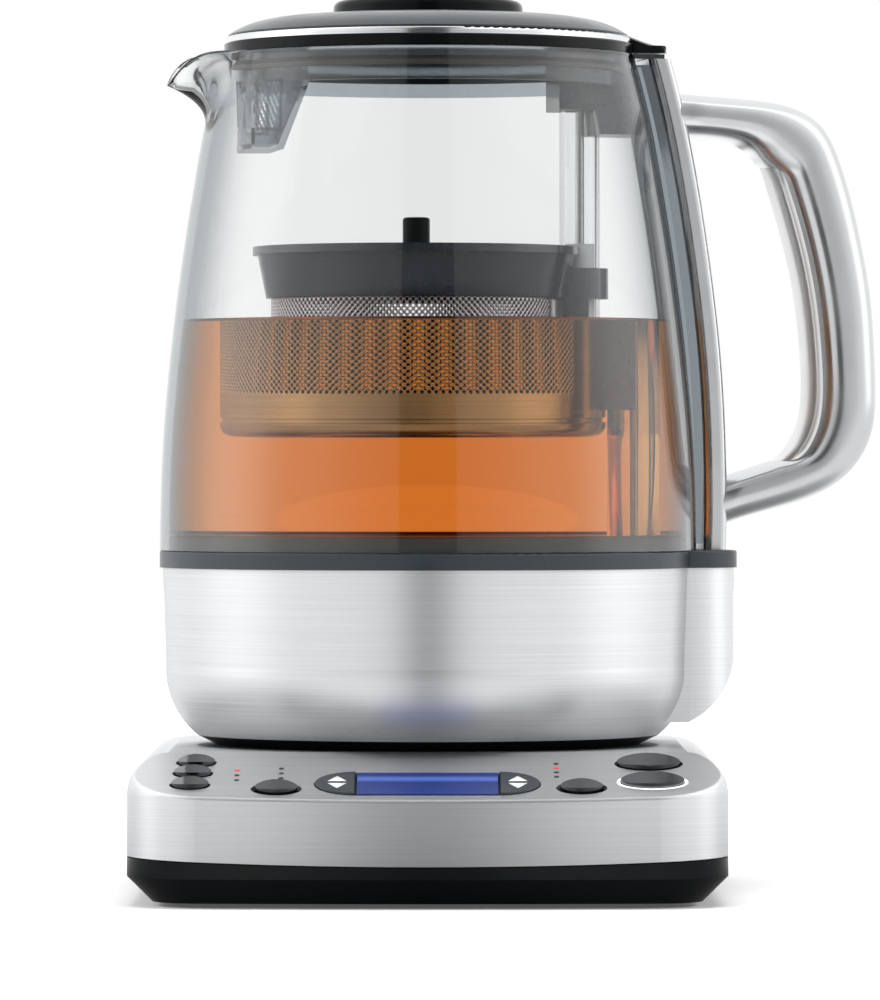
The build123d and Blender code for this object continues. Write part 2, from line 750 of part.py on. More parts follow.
with BuildPart() as power_parts:
    with BuildSketch(Plane.XY.offset(power_board_top)):
        with Locations((board_x - 20, board_y)):
            Rectangle(*relay_size)
    extrude(amount=relay_height)
    fillet(power_parts.edges().filter_by(Axis.Z), 1)
    with BuildSketch(Plane.XY.offset(power_board_top)):
        with Locations((board_x + 12, board_y + 4)):
            Rectangle(*transformer_core)
    extrude(amount=transformer_height)
    with BuildSketch(Plane.XY.offset(power_board_top + 2)):
        with Locations((board_x + 12, board_y + 4)):
            RectangleRounded(transformer_core[0] - 8, transformer_core[1] + 8, 3)
    extrude(amount=transformer_height - 4)
    with BuildSketch(Plane.XY.offset(power_board_top)):
        with Locations((board_x + 29, board_y - 15)):
            Circle(buzzer_radius)
    extrude(amount=buzzer_radius)
power_parts.part.label = "power_parts"
export_step(power_parts.part, "parts/power_parts.step")

with BuildPart() as cord_gland:
    gland_face = Plane.XZ.offset(-base_back - gland_lip)
    with BuildSketch(gland_face):
        with Locations((gland_x, gland_height)):
            Circle(gland_radius)
    extrude(amount=gland_length)
    for outer in (gland_lip, -cover_wall):
        with BuildSketch(Plane.XZ.offset(-base_back - outer)):
            with Locations((gland_x, gland_height)):
                Circle(gland_flange)
        extrude(amount=gland_lip)
    with BuildSketch(gland_face):
        with Locations((gland_x, gland_height)):
            Circle(gland_bore)
    extrude(amount=gland_length, mode=Mode.SUBTRACT)
cord_gland.part.label = "cord_gland"
export_step(cord_gland.part, "parts/cord_gland.step")

# ---------------------------------------------------------------- jug: helpers
def turned(points):
    """A ring or disc turned about the jug's axis from its (radius, height) corners."""
    with BuildPart() as ring:
        with BuildSketch(jug_side):
            with BuildLine():
                Polyline(*points, close=True)
            make_face()
        revolve(axis=Axis.Z)
    return ring.part


def shifted(points, distance):
    """The points of a curve, each moved to the left of the curve's direction."""
    moved = []
    for index, (x, y) in enumerate(points):
        before = points[max(index - 1, 0)]
        after = points[min(index + 1, len(points) - 1)]
        run, rise = after[0] - before[0], after[1] - before[1]
        length = hypot(run, rise)
        moved.append((x - distance * rise / length, y + distance * run / length))
    return moved


def raised(points, height):
    """The points of a curve, each raised by a height."""
    return [(x, height + rise) for x, rise in points]


def glass_form(inset, bottom, top):
    """The jug's curved body, drawn in by an inset, cut off at a bottom and a top height."""
    outline = [(radius - inset, collar_top + rise) for radius, rise in glass_profile]
    with BuildPart() as form:
        with BuildSketch(jug_side):
            with BuildLine():
                Spline(*outline)
                low, high = outline[0], outline[-1]
                Polyline(high, (high[0], top + overcut), (0, top + overcut), (0, low[1] - overcut),
                         (low[0], low[1] - overcut), low)
            make_face()
        revolve(axis=Axis.Z)
        with BuildSketch(Plane.XY.offset(bottom)):
            Circle(2 * glass_radius)
        extrude(amount=top - bottom, mode=Mode.INTERSECT)
    return form.part


def strap_face(inset, bottom, top):
    """Side outline of everything inside the strap's outer curve, drawn in by an inset."""
    curve = [(radius - inset, collar_top + rise) for radius, rise in strap_profile]
    with BuildSketch(jug_side) as face:
        with BuildLine():
            Spline(*curve)
            low, high = curve[0], curve[-1]
            Polyline(high, (high[0], high[1] + overcut), (strap_root, high[1] + overcut),
                     (strap_root, low[1] - overcut), (low[0], low[1] - overcut), low)
        make_face()
        with Locations((0, (bottom + top) / 2)):
            Rectangle(4 * glass_radius, top - bottom, mode=Mode.INTERSECT)
    return face.sketch


def ear_plan(height, inset):
    """The ear under the handle from above: a rounded block that reaches past the jug."""
    with BuildSketch(jug_plan.offset(height)) as plan:
        RectangleRounded(2 * (ear_reach - inset), 2 * (ear_half_width - inset), ear_corner - inset)
        with Locations((-ear_reach, 0)):
            Rectangle(2 * ear_reach, 4 * ear_half_width, mode=Mode.SUBTRACT)
    return plan.sketch


def foot_form(inset):
    """The jug's steel foot with its ear, drawn in by an inset."""
    with BuildPart() as form:
        with BuildSketch(jug_side):
            with BuildLine():
                Line((shell_top_radius - inset, collar_bottom),
                     (shell_side_radius - inset, shell_turn_height))
                ThreePointArc((shell_side_radius - inset, shell_turn_height),
                              (shell_shoulder_radius - inset, shell_shoulder_height),
                              (shell_bottom_radius - inset, shell_bottom))
                Polyline((shell_bottom_radius - inset, shell_bottom), (0, shell_bottom),
                         (0, collar_bottom), (shell_top_radius - inset, collar_bottom))
            make_face()
        revolve(axis=Axis.Z)
        with BuildSketch(jug_side) as ear_side:
            with BuildLine():
                Line((ear_reach - inset, collar_bottom), (ear_reach - inset, ear_turn_height))
                ThreePointArc((ear_reach - inset, ear_turn_height),
                              (ear_middle_radius - inset, ear_middle_height),
                              (ear_bottom_radius - inset, ear_bottom))
                Polyline((ear_bottom_radius - inset, ear_bottom), (ear_root, ear_bottom),
                         (ear_root, collar_bottom), (ear_reach - inset, collar_bottom))
            make_face()
        side = extrude(ear_side.sketch, amount=ear_half_width, both=True, mode=Mode.PRIVATE)
        block = extrude(ear_plan(ear_bottom - 1, inset), amount=collar_bottom, mode=Mode.PRIVATE)
        add(side & block)
    return form.part


# ---------------------------------------------------------------- jug: steel foot
with BuildPart() as jug_base_shell:
    add(foot_form(0))
    add(foot_form(shell_wall), mode=Mode.SUBTRACT)
jug_base_shell.part.label = "jug_base_shell"
export_step(jug_base_shell.part, "parts/jug_base_shell.step")

cover_lip_radius = shell_bottom_radius - shell_wall - sliding_gap
cover_floor = shell_bottom + 1.0
cover_floor_top = cover_floor + bottom_wall
with BuildPart() as jug_bottom_cover:
    add(turned([(shell_bottom_radius - nest_gap, shell_bottom - nest_gap), (jug_foot_outer, jug_foot),
                (jug_foot_inner, jug_foot), (jug_foot_inner - 3, cover_floor), (0, cover_floor),
                (0, cover_floor_top), (cover_lip_radius - bottom_wall, cover_floor_top),
                (cover_lip_radius - bottom_wall, cover_floor_top + 3),
                (cover_lip_radius, cover_floor_top + 3),
                (cover_lip_radius, shell_bottom - nest_gap)]))
    with BuildSketch(jug_plan.offset(cover_floor_top)):
        with Locations((post_offset, 0)):
            Circle(motor_radius + sliding_gap + motor_cup_wall)
    extrude(amount=motor_cup_height)
    with BuildSketch(jug_plan.offset(cover_floor_top)):
        with Locations((post_offset, 0)):
            Circle(motor_radius + sliding_gap)
    extrude(amount=motor_cup_height, mode=Mode.SUBTRACT)
    with BuildSketch(Plane.XY.offset(cover_floor)):
        Circle(connector_radius + nest_gap)
    extrude(amount=bottom_wall, mode=Mode.SUBTRACT)
jug_bottom_cover.part.label = "jug_bottom_cover"
export_step(jug_bottom_cover.part, "parts/jug_bottom_cover.step")

connector_room = core_top + 2.0
with BuildPart() as jug_connector:
    add(turned([(0, cover_floor), (connector_radius, cover_floor), (connector_radius, cover_floor_top),
                (connector_radius + 4, cover_floor_top), (connector_radius + 4, cover_floor_top + 3),
                (connector_neck, cover_floor_top + 3), (connector_neck, connector_room + 6),
                (0, connector_room + 6)]))
    with BuildSketch(Plane.XY.offset(cover_floor)):
        Circle(core_radius + sliding_gap)
    extrude(amount=connector_room - cover_floor, mode=Mode.SUBTRACT)
jug_connector.part.label = "jug_connector"
export_step(jug_connector.part, "parts/jug_connector.step")

with BuildPart() as jug_collar:
    with BuildSketch(Plane.XY.offset(collar_bottom)):
        Circle(glass_radius)
    extrude(amount=collar_top - collar_bottom)
    extrude(ear_plan(collar_bottom, -collar_bulge), amount=collar_top - collar_bottom)
    fillet(jug_collar.faces().sort_by(Axis.Z)[-1].edges(), collar_round)
    with BuildSketch(Plane.XY.offset(collar_bottom)):
        Circle(plate_radius - plate_seat)
    extrude(amount=collar_top - collar_bottom, mode=Mode.SUBTRACT)
    with BuildSketch(Plane.XY.offset(plate_bottom)):
        Circle(plate_radius + nest_gap)
    extrude(amount=collar_top - plate_bottom, mode=Mode.SUBTRACT)
jug_collar.part.label = "jug_collar"
export_step(jug_collar.part, "parts/jug_collar.step")

# ---------------------------------------------------------------- jug: heating and lift drive
plate_top = plate_bottom + plate_wall
with BuildPart() as heating_plate:
    add(turned([(0, plate_bottom), (plate_radius, plate_bottom), (plate_radius, plate_rim_top),
                (plate_radius - plate_wall, plate_rim_top), (plate_radius - plate_wall, plate_top),
                (0, plate_top)]))
    with BuildSketch(jug_plan.offset(plate_bottom)):
        with Locations((post_offset, 0)):
            Circle(post_radius + 2 + nest_gap)
    extrude(amount=plate_wall, mode=Mode.SUBTRACT)
heating_plate.part.label = "heating_plate"
export_step(heating_plate.part, "parts/heating_plate.step")

with BuildPart() as glass_seal:
    inner = plate_radius + nest_gap
    outer = glass_radius - glass_wall - nest_gap
    add(turned([(inner, collar_top), (outer, collar_top), (outer, plate_rim_top),
                ((inner + outer) / 2, plate_rim_top + 0.8), (inner - plate_wall, plate_rim_top + 0.6),
                (inner - plate_wall, plate_rim_top + nest_gap), (inner, plate_rim_top + nest_gap)]))
glass_seal.part.label = "glass_seal"
export_step(glass_seal.part, "parts/glass_seal.step")

with BuildPart() as heating_element:
    start = Plane.XZ.rotated((0, 0, jug_turn + element_opening))
    with BuildSketch(start):
        with Locations((element_radius, plate_bottom - element_height / 2)):
            RectangleRounded(element_width, element_height, 2)
    revolve(axis=Axis.Z, revolution_arc=360 - 2 * element_opening)
    with BuildSketch(jug_plan.offset(plate_bottom - element_height / 2)):
        with PolarLocations(element_radius, 2, start_angle=element_opening + 4,
                            angular_range=360 - 2 * element_opening - 8, endpoint=True):
            Circle(terminal_radius)
    extrude(amount=-1.5 * element_height)
heating_element.part.label = "heating_element"
export_step(heating_element.part, "parts/heating_element.step")

with BuildPart() as thermostat:
    with BuildSketch(Plane.XY.offset(plate_bottom)):
        Circle(thermostat_radius)
    extrude(amount=-element_height)
    with BuildSketch(Plane.XY.offset(plate_bottom - element_height)):
        with Locations((-thermostat_radius / 2, 0), (thermostat_radius / 2, 0)):
            Rectangle(1, 6)
    extrude(amount=-element_height)
thermostat.part.label = "thermostat"
export_step(thermostat.part, "parts/thermostat.step")

motor_bottom = cover_floor_top + nest_gap
motor_top = motor_bottom + motor_length
with BuildPart() as lift_motor:
    with BuildSketch(jug_plan.offset(motor_bottom)):
        with Locations((post_offset, 0)):
            Circle(motor_radius)
    extrude(amount=motor_length)
    fillet(lift_motor.faces().sort_by(Axis.Z)[-1].edges(), 1.5)
    with BuildSketch(jug_plan.offset(motor_top)):
        with Locations((post_offset, 0)):
            Circle(4 * screw_radius)
            Circle(screw_radius + running_gap, mode=Mode.SUBTRACT)
    extrude(amount=1.5)
    with BuildSketch(jug_plan.offset(motor_top)):
        with Locations((post_offset, 0)):
            Circle(screw_radius + running_gap)
    extrude(amount=-motor_bore, mode=Mode.SUBTRACT)
lift_motor.part.label = "lift_motor"
export_step(lift_motor.part, "parts/lift_motor.step")

seal_bottom = plate_bottom - seal_flange
seal_top = plate_top + seal_flange
with BuildPart() as post_seal:
    with BuildSketch(jug_plan.offset(seal_bottom)):
        with Locations((post_offset, 0)):
            Circle(post_radius + 4)
    extrude(amount=seal_flange)
    with BuildSketch(jug_plan.offset(plate_bottom)):
        with Locations((post_offset, 0)):
            Circle(post_radius + 2)
    extrude(amount=plate_wall)
    with BuildSketch(jug_plan.offset(plate_top)):
        with Locations((post_offset, 0)):
            Circle(post_radius + 4)
    extrude(amount=seal_flange)
    with BuildSketch(jug_plan.offset(seal_bottom)):
        with Locations((post_offset, 0)):
            Circle(screw_radius + running_gap)
    extrude(amount=seal_top, mode=Mode.SUBTRACT)
post_seal.part.label = "post_seal"
export_step(post_seal.part, "parts/post_seal.step")

with BuildPart() as lift_post:
    with BuildSketch(jug_plan.offset(seal_top)):
        with Locations((post_offset, 0)):
            Circle(post_radius)
    extrude(amount=post_top - seal_top)
    fillet(lift_post.faces().sort_by(Axis.Z)[-1].edges(), post_radius / 3)
    with BuildSketch(jug_plan.offset(seal_top)):
        with Locations((post_offset, 0)):
            Circle(post_radius - post_wall)
    extrude(amount=post_top - seal_top - post_wall, mode=Mode.SUBTRACT)
lift_post.part.label = "lift_post"
export_step(lift_post.part, "parts/lift_post.step")

with BuildPart() as lead_screw:
    with BuildSketch(jug_plan.offset(motor_top + 4)):
        with Locations((post_offset, 0)):
            Circle(screw_radius)
    extrude(amount=post_top - post_wall - 2 - motor_top - 4)
lead_screw.part.label = "lead_screw"
export_step(lead_screw.part, "parts/lead_screw.step")

with BuildPart() as shaft_coupling:
    with BuildSketch(jug_plan.offset(motor_top + 1.5 + nest_gap)):
        with Locations((post_offset, 0)):
            Circle(3 * screw_radius)
    extrude(amount=coupling_length)
    with BuildSketch(jug_plan.offset(motor_top - motor_bore + 1)):
        with Locations((post_offset, 0)):
            Circle(screw_radius)
    extrude(amount=motor_bore + 1)
    with BuildSketch(jug_plan.offset(motor_top + 4 - nest_gap)):
        with Locations((post_offset, 0)):
            Circle(screw_radius + nest_gap)
    extrude(amount=coupling_length, mode=Mode.SUBTRACT)
shaft_coupling.part.label = "shaft_coupling"
export_step(shaft_coupling.part, "parts/shaft_coupling.step")

with BuildPart() as magnet_carriage:
    with BuildSketch(jug_plan.offset(carriage_bottom)):
        with Locations((post_offset, 0)):
            Circle(post_radius - post_wall - sliding_gap)
            Circle(screw_radius + running_gap, mode=Mode.SUBTRACT)
    extrude(amount=carriage_height)
magnet_carriage.part.label = "magnet_carriage"
export_step(magnet_carriage.part, "parts/magnet_carriage.step")

# ---------------------------------------------------------------- jug: glass
def spout_form(inset, lift):
    """The spout as a loft of half-oval sections, thinner by inset and taller by lift."""
    with BuildPart() as form:
        for reach, top, bottom, half in spout_sections:
            section = Plane(origin=(-reach * cos(turn), -reach * sin(turn), glass_top - top + lift),
                            x_dir=(sin(turn), -cos(turn), 0), z_dir=(-cos(turn), -sin(turn), 0))
            depth = bottom - top + lift - inset
            with BuildSketch(section):
                Ellipse(half - inset, depth)
                with Locations((0, depth)):
                    Rectangle(4 * half, 2 * depth, mode=Mode.SUBTRACT)
        loft()
    return form.part


with BuildPart() as jug_glass:
    add(glass_form(0, collar_top, glass_top))
    add(spout_form(0, 0))
    add(glass_form(glass_wall, collar_top - 10, glass_top + 10), mode=Mode.SUBTRACT)
    add(spout_form(spout_wall, spout_lift), mode=Mode.SUBTRACT)
jug_glass.part.label = "jug_glass"
export_step(jug_glass.part, "parts/jug_glass.step")

# ---------------------------------------------------------------- jug: strap and handle
screw_ends = [(strap_screw_top, strap_radius_top), (strap_screw_bottom, strap_radius_bottom)]


def across_strap(radius, height):
    """A plane that faces outwards along the handle at a radius and height."""
    return Plane(origin=(radius * cos(turn), radius * sin(turn), height),
                 x_dir=(-sin(turn), cos(turn), 0), z_dir=(cos(turn), sin(turn), 0))


with BuildPart() as strap:
    extrude(strap_face(0, collar_top, glass_top), amount=strap_half_width, both=True)
    extrude(strap_face(strap_thickness, collar_top - 1, glass_top + 1), amount=strap_half_width + 1,
            both=True, mode=Mode.SUBTRACT)
    long_edges = strap.edges().filter_by(lambda e: e.length > (glass_top - collar_top) * 0.9)
    fillet(long_edges, strap_round)
    for height, radius in screw_ends:
        with BuildSketch(across_strap(radius - strap_thickness - 4, height)):
            Circle(handle_screw_radius + nest_gap)
        extrude(amount=strap_thickness + 8, mode=Mode.SUBTRACT)
        with BuildSketch(across_strap(radius - strap_thickness - 4, height)):
            Circle(handle_screw_head + nest_gap)
        extrude(amount=4 + handle_screw_sink, mode=Mode.SUBTRACT)
strap.part.label = "strap"
export_step(strap.part, "parts/strap.step")

with BuildPart() as strap_pad:
    extrude(strap_face(strap_thickness + nest_gap, collar_top + 2, glass_top - 2),
            amount=pad_half_width, both=True)
    add(glass_form(-nest_gap, collar_top - 1, glass_top + 1), mode=Mode.SUBTRACT)
strap_pad.part.label = "strap_pad"
export_step(strap_pad.part, "parts/strap_pad.step")

outer_curve = raised(handle_outer, collar_top)
inner_curve = raised(handle_inner, collar_top)
lined_curve = shifted(inner_curve, insert_thickness)

with BuildSketch(jug_side) as handle_outside:
    with BuildLine():
        Spline(*outer_curve)
        Line(outer_curve[-1], outer_curve[0])
    make_face()

with BuildSketch(jug_side) as finger_hole:
    with BuildLine():
        Spline(*inner_curve)
        Line(inner_curve[-1], inner_curve[0])
    make_face()

with BuildSketch(jug_side) as lined_hole:
    with BuildLine():
        Spline(*lined_curve)
        Line(lined_curve[-1], lined_curve[0])
    make_face()

with BuildPart() as handle_shell:
    with BuildSketch(jug_side):
        add(handle_outside.sketch)
        add(lined_hole.sketch, mode=Mode.SUBTRACT)
    extrude(amount=handle_half_width, both=True)
    fillet(handle_shell.edges().sort_by(SortBy.LENGTH)[-2:], handle_round)
    extrude(strap_face(-nest_gap, collar_top - overcut, glass_top + overcut), amount=2 * handle_half_width,
            both=True, mode=Mode.SUBTRACT)
    for height, radius in screw_ends:
        with BuildSketch(across_strap(radius - 4, height)):
            Circle(handle_screw_radius + nest_gap)
        extrude(amount=4 + handle_screw_grip, mode=Mode.SUBTRACT)
handle_shell.part.label = "handle_shell"
export_step(handle_shell.part, "parts/handle_shell.step")

with BuildPart() as handle_insert:
    with BuildSketch(jug_side):
        add(lined_hole.sketch)
        add(finger_hole.sketch, mode=Mode.SUBTRACT)
        add(handle_outside.sketch, mode=Mode.INTERSECT)
    extrude(amount=handle_half_width - insert_step, both=True)
    extrude(strap_face(-nest_gap, collar_top - overcut, glass_top + overcut), amount=2 * handle_half_width,
            both=True, mode=Mode.SUBTRACT)
handle_insert.part.label = "handle_insert"
export_step(handle_insert.part, "parts/handle_insert.step")

with BuildPart() as handle_screws:
    for height, radius in screw_ends:
        start = radius - strap_thickness + handle_screw_sink
        with BuildSketch(across_strap(start, height)):
            Circle(handle_screw_radius)
        extrude(amount=radius - start + handle_screw_grip - 1)
        with BuildSketch(across_strap(start, height)):
            Circle(handle_screw_head)
        extrude(amount=-handle_screw_sink / 2)
handle_screws.part.label = "handle_screws"
export_step(handle_screws.part, "parts/handle_screws.step")

# the bracket hangs from the rim at the handle and holds the top of the post
bracket_top = glass_top + nest_gap + bracket_tab
with BuildPart() as post_bracket:
    with BuildSketch(jug_side):
        with BuildLine():
            Polyline(*raised(bracket_outline, glass_top), close=True)
        make_face()
    extrude(amount=bracket_half_width, both=True)
    add(glass_form(glass_wall + sliding_gap, collar_top, bracket_top), mode=Mode.INTERSECT)
    with BuildSketch(jug_side):
        with Locations(((bracket_tab_start + bracket_tab_end) / 2, bracket_top - bracket_tab / 2)):
            Rectangle(bracket_tab_end - bracket_tab_start, bracket_tab)
    extrude(amount=bracket_half_width - 2, both=True)
    with BuildSketch(jug_plan.offset(collar_top)):
        with Locations((post_offset, 0)):
            Circle(post_radius + nest_gap)
    extrude(amount=post_top + nest_gap - collar_top, mode=Mode.SUBTRACT)
post_bracket.part.label = "post_bracket"
export_step(post_bracket.part, "parts/post_bracket.step")

# ---------------------------------------------------------------- lid
skirt_disc = glass_top + nest_gap + bracket_tab + sliding_gap   # underside of the skirt's disc
skirt_disc_top = skirt_disc + skirt_floor
rim_bottom = glass_top + sliding_gap
rim_top = skirt_disc_top + rim_ledge
trim_bottom = rim_top + nest_gap
trim_top = trim_bottom + trim_height


def handle_notch(start, half_width, bottom, top):
    """A block over the handle side, from a distance out from the jug's axis."""
    with BuildPart() as block:
        with BuildSketch(jug_plan.offset(bottom)):
            with Locations((start + glass_radius, 0)):
                Rectangle(2 * glass_radius, 2 * half_width)
        extrude(amount=top - bottom)
    return block.part


def spout_pocket(inset, bottom, top):
    """The block behind the spout that holds the spout filter, drawn in by an inset."""
    with BuildPart() as block:
        with BuildSketch(jug_side):
            with BuildLine():
                Polyline((-skirt_radius + inset, bottom), (-pocket_bottom_reach - inset, bottom),
                         (-pocket_top_reach - inset, skirt_bottom), (-pocket_top_reach - inset, top),
                         (-skirt_radius + inset, top), close=True)
            make_face()
        extrude(amount=pocket_half_width - inset, both=True)
        with BuildSketch(Plane.XY.offset(bottom)):
            Circle(skirt_radius - inset)
        extrude(amount=top - bottom, mode=Mode.INTERSECT)
    return block.part


with BuildPart() as lid_skirt:
    add(turned([(skirt_radius - skirt_wall, skirt_bottom), (skirt_radius, skirt_bottom),
                (skirt_radius, skirt_disc_top), (0, skirt_disc_top), (0, skirt_disc),
                (skirt_radius - skirt_wall, skirt_disc)]))
    add(handle_notch(bracket_outline[0][0] - 1, bracket_half_width + 1, skirt_bottom - 1, skirt_disc),
        mode=Mode.SUBTRACT)
    add(spout_pocket(0, pocket_bottom, skirt_disc))
    add(spout_pocket(pocket_wall, pocket_bottom + pocket_wall, skirt_disc), mode=Mode.SUBTRACT)
    with BuildSketch(jug_side):
        with Locations((-filter_middle, filter_height)):
            Rectangle(filter_length, filter_width)
    extrude(amount=2 * pocket_half_width, both=True, mode=Mode.SUBTRACT)
    with BuildSketch(across_strap(-skirt_radius - 5, filter_height)):
        Rectangle(2 * pocket_half_width - 6 * pocket_wall, filter_width)
    extrude(amount=14, mode=Mode.SUBTRACT)
    groove = skirt_radius - skirt_groove
    add(turned([(groove, skirt_seal_height), (groove + 5, skirt_seal_height),
                (groove + 5, skirt_seal_height + seal_width),
                (groove, skirt_seal_height + seal_width)]), mode=Mode.SUBTRACT)
lid_skirt.part.label = "lid_skirt"
export_step(lid_skirt.part, "parts/lid_skirt.step")

filter_side = pocket_half_width - pocket_wall - nest_gap - filter_sheet / 2
with BuildPart() as spout_filter:
    for side in (-1, 1):
        with BuildSketch(jug_side.offset(side * filter_side - filter_sheet / 2)):
            with Locations((-filter_middle, filter_height)):
                Rectangle(filter_length + 2, filter_width + 2)
                with GridLocations(filter_pitch, filter_pitch, filter_holes[0], filter_holes[1]):
                    Circle(filter_pitch * 0.3, mode=Mode.SUBTRACT)
        extrude(amount=filter_sheet)
spout_filter.part.label = "spout_filter"
export_step(spout_filter.part, "parts/spout_filter.step")

with BuildPart() as lid_seal:
    add(turned([(skirt_radius - skirt_groove + nest_gap, skirt_seal_height + nest_gap),
                (skirt_radius + seal_reach, skirt_seal_height + nest_gap),
                (skirt_radius + seal_reach, skirt_seal_height + seal_width / 2),
                (skirt_radius - skirt_groove + nest_gap,
                 skirt_seal_height + seal_width - nest_gap)]))
    add(handle_notch(bracket_outline[0][0] - 1, bracket_half_width + 1, skirt_bottom - 1, skirt_disc),
        mode=Mode.SUBTRACT)
lid_seal.part.label = "lid_seal"
export_step(lid_seal.part, "parts/lid_seal.step")

with BuildPart() as lid_rim:
    add(turned([(skirt_radius + nest_gap, rim_bottom), (rim_radius, rim_bottom), (rim_radius, rim_top),
                (rim_inner, rim_top), (rim_inner, skirt_disc_top),
                (skirt_radius + nest_gap, skirt_disc_top)]))
    add(handle_notch(rim_inner - 10, bracket_half_width + sliding_gap, rim_bottom - 1,
                     skirt_disc), mode=Mode.SUBTRACT)
    with BuildSketch(jug_plan.offset(skirt_disc)):
        with Locations(((rim_inner + tongue_reach) / 2 + 4, 0)):
            RectangleRounded(tongue_reach - rim_inner - 8, 2 * tongue_half_width, 4)
        Circle(skirt_radius + nest_gap, mode=Mode.SUBTRACT)
    extrude(amount=rim_top - skirt_disc)
    tongue_rim = lid_rim.faces().sort_by(Axis.Z)[-1].outer_wire().edges()
    fillet(tongue_rim, rim_round)
lid_rim.part.label = "lid_rim"
export_step(lid_rim.part, "parts/lid_rim.step")

with BuildPart() as lid_trim_ring:
    add(turned([(trim_inner, trim_bottom), (trim_radius, trim_bottom), (trim_radius, trim_top),
                (trim_inner, trim_top)]))
    fillet(lid_trim_ring.faces().sort_by(Axis.Z)[-1].outer_wire().edges(), trim_round)
lid_trim_ring.part.label = "lid_trim_ring"
export_step(lid_trim_ring.part, "parts/lid_trim_ring.step")

with BuildPart() as lid_cover:
    with BuildSketch(jug_side):
        with BuildLine():
            edge = (cover_radius, trim_top + nest_gap)
            Spline((knob_radius, knob_bottom), (0.68 * cover_radius, knob_bottom - 0.9),
                   (0.86 * cover_radius, knob_bottom - 2.6), (cover_radius, edge[1] + 0.5))
            plug = trim_inner - nest_gap
            Polyline((cover_radius, edge[1] + 0.5), edge, (plug, edge[1]), (plug, trim_bottom),
                     (plug - lid_wall, trim_bottom), (plug - lid_wall, edge[1]),
                     (0.6 * cover_radius, knob_bottom - lid_wall - 2), (0, knob_bottom - lid_wall),
                     (0, knob_bottom), (knob_radius, knob_bottom))
        make_face()
    revolve(axis=Axis.Z)
    with BuildSketch(Plane.XY.offset(knob_bottom)):
        Circle(knob_stem_radius + nest_gap)
    extrude(amount=-2 * lid_wall, mode=Mode.SUBTRACT)
lid_cover.part.label = "lid_cover"
export_step(lid_cover.part, "parts/lid_cover.step")

with BuildPart() as lid_knob:
    with BuildSketch(Plane.XY.offset(knob_bottom + nest_gap)):
        Circle(knob_radius)
    extrude(amount=knob_height)
    fillet(lid_knob.faces().sort_by(Axis.Z)[-1].edges(), knob_round)
    with BuildSketch(Plane.XY.offset(skirt_disc_top + nest_gap)):
        Circle(knob_stem_radius)
    extrude(amount=knob_bottom - skirt_disc_top)
lid_knob.part.label = "lid_knob"
export_step(lid_knob.part, "parts/lid_knob.step")

# ---------------------------------------------------------------- tea basket
def basket_disc(height, radius, inner=0.0):
    """A circle or ring round the basket's own axis."""
    with BuildSketch(jug_plan.offset(height)) as disc:
        with Locations((basket_offset, 0)):
            Circle(radius)
            if inner:
                Circle(inner, mode=Mode.SUBTRACT)
    return disc.sketch


def basket_turned(points):
    """A ring turned about the basket's axis from its (radius, height) corners."""
    centre = (basket_offset * cos(turn), basket_offset * sin(turn))
    with BuildPart() as ring:
        with BuildSketch(jug_side):
            with BuildLine():
                Polyline(*[(radius + basket_offset, height) for radius, height in points], close=True)
            make_face()
        revolve(axis=Axis((*centre, 0), (0, 0, 1)))
    return ring.part


def basket_can(inset):
    """The basket's round body with its rounded foot, drawn in by an inset."""
    with BuildPart() as can:
        extrude(basket_disc(basket_bottom + inset, basket_radius - inset),
                amount=basket_tube_top - basket_bottom)
        fillet(can.faces().sort_by(Axis.Z)[0].edges(), basket_foot_round - inset)
    return can.part


with BuildPart() as basket_cylinder:
    add(basket_can(0))
    add(basket_can(basket_sheet), mode=Mode.SUBTRACT)
basket_cylinder.part.label = "basket_cylinder"
export_step(basket_cylinder.part, "parts/basket_cylinder.step")

collar_inner = basket_radius + nest_gap
clamp_hole = post_radius + sliding_gap
with BuildPart() as basket_collar:
    add(basket_turned([(collar_inner, basket_collar_bottom),
                       (collar_inner + basket_collar_wall, basket_collar_bottom),
                       (basket_rim_radius - 1.6, basket_rim - 2.6), (basket_rim_radius, basket_rim - 2.6),
                       (basket_rim_radius, basket_rim), (basket_lid_radius + nest_gap, basket_rim),
                       (basket_lid_radius + nest_gap, basket_tube_top + nest_gap),
                       (collar_inner, basket_tube_top + nest_gap)]))
    with BuildSketch(jug_plan.offset(basket_collar_bottom)):
        with Locations((post_offset, 0)):
            Circle(clamp_radius)
        with Locations((post_offset - 5, 0)):
            Rectangle(10, 2 * clamp_radius)
        with Locations((basket_offset, 0)):
            Circle(collar_inner + 0.2, mode=Mode.SUBTRACT)
    extrude(amount=basket_tube_top - basket_collar_bottom)
    with BuildSketch(jug_plan.offset(guide_bottom)):
        with Locations((post_offset - 4, 0)):
            Rectangle(10, 2 * clamp_radius)
        with Locations((basket_offset, 0)):
            Circle(collar_inner + 0.2, mode=Mode.SUBTRACT)
    extrude(amount=basket_collar_bottom - guide_bottom)
    with BuildSketch(jug_plan.offset(guide_bottom)):
        with Locations((post_offset, 0)):
            Circle(clamp_hole)
    extrude(amount=basket_rim, mode=Mode.SUBTRACT)
    with BuildSketch(jug_plan.offset(basket_collar_bottom + 2)):
        with Locations((post_offset, 0)):
            SlotArc(CenterArc((0, 0), clamp_magnet_radius, -60, 120), clamp_magnet_width + nest_gap)
    extrude(amount=clamp_magnet_height + nest_gap, mode=Mode.SUBTRACT)
basket_collar.part.label = "basket_collar"
export_step(basket_collar.part, "parts/basket_collar.step")

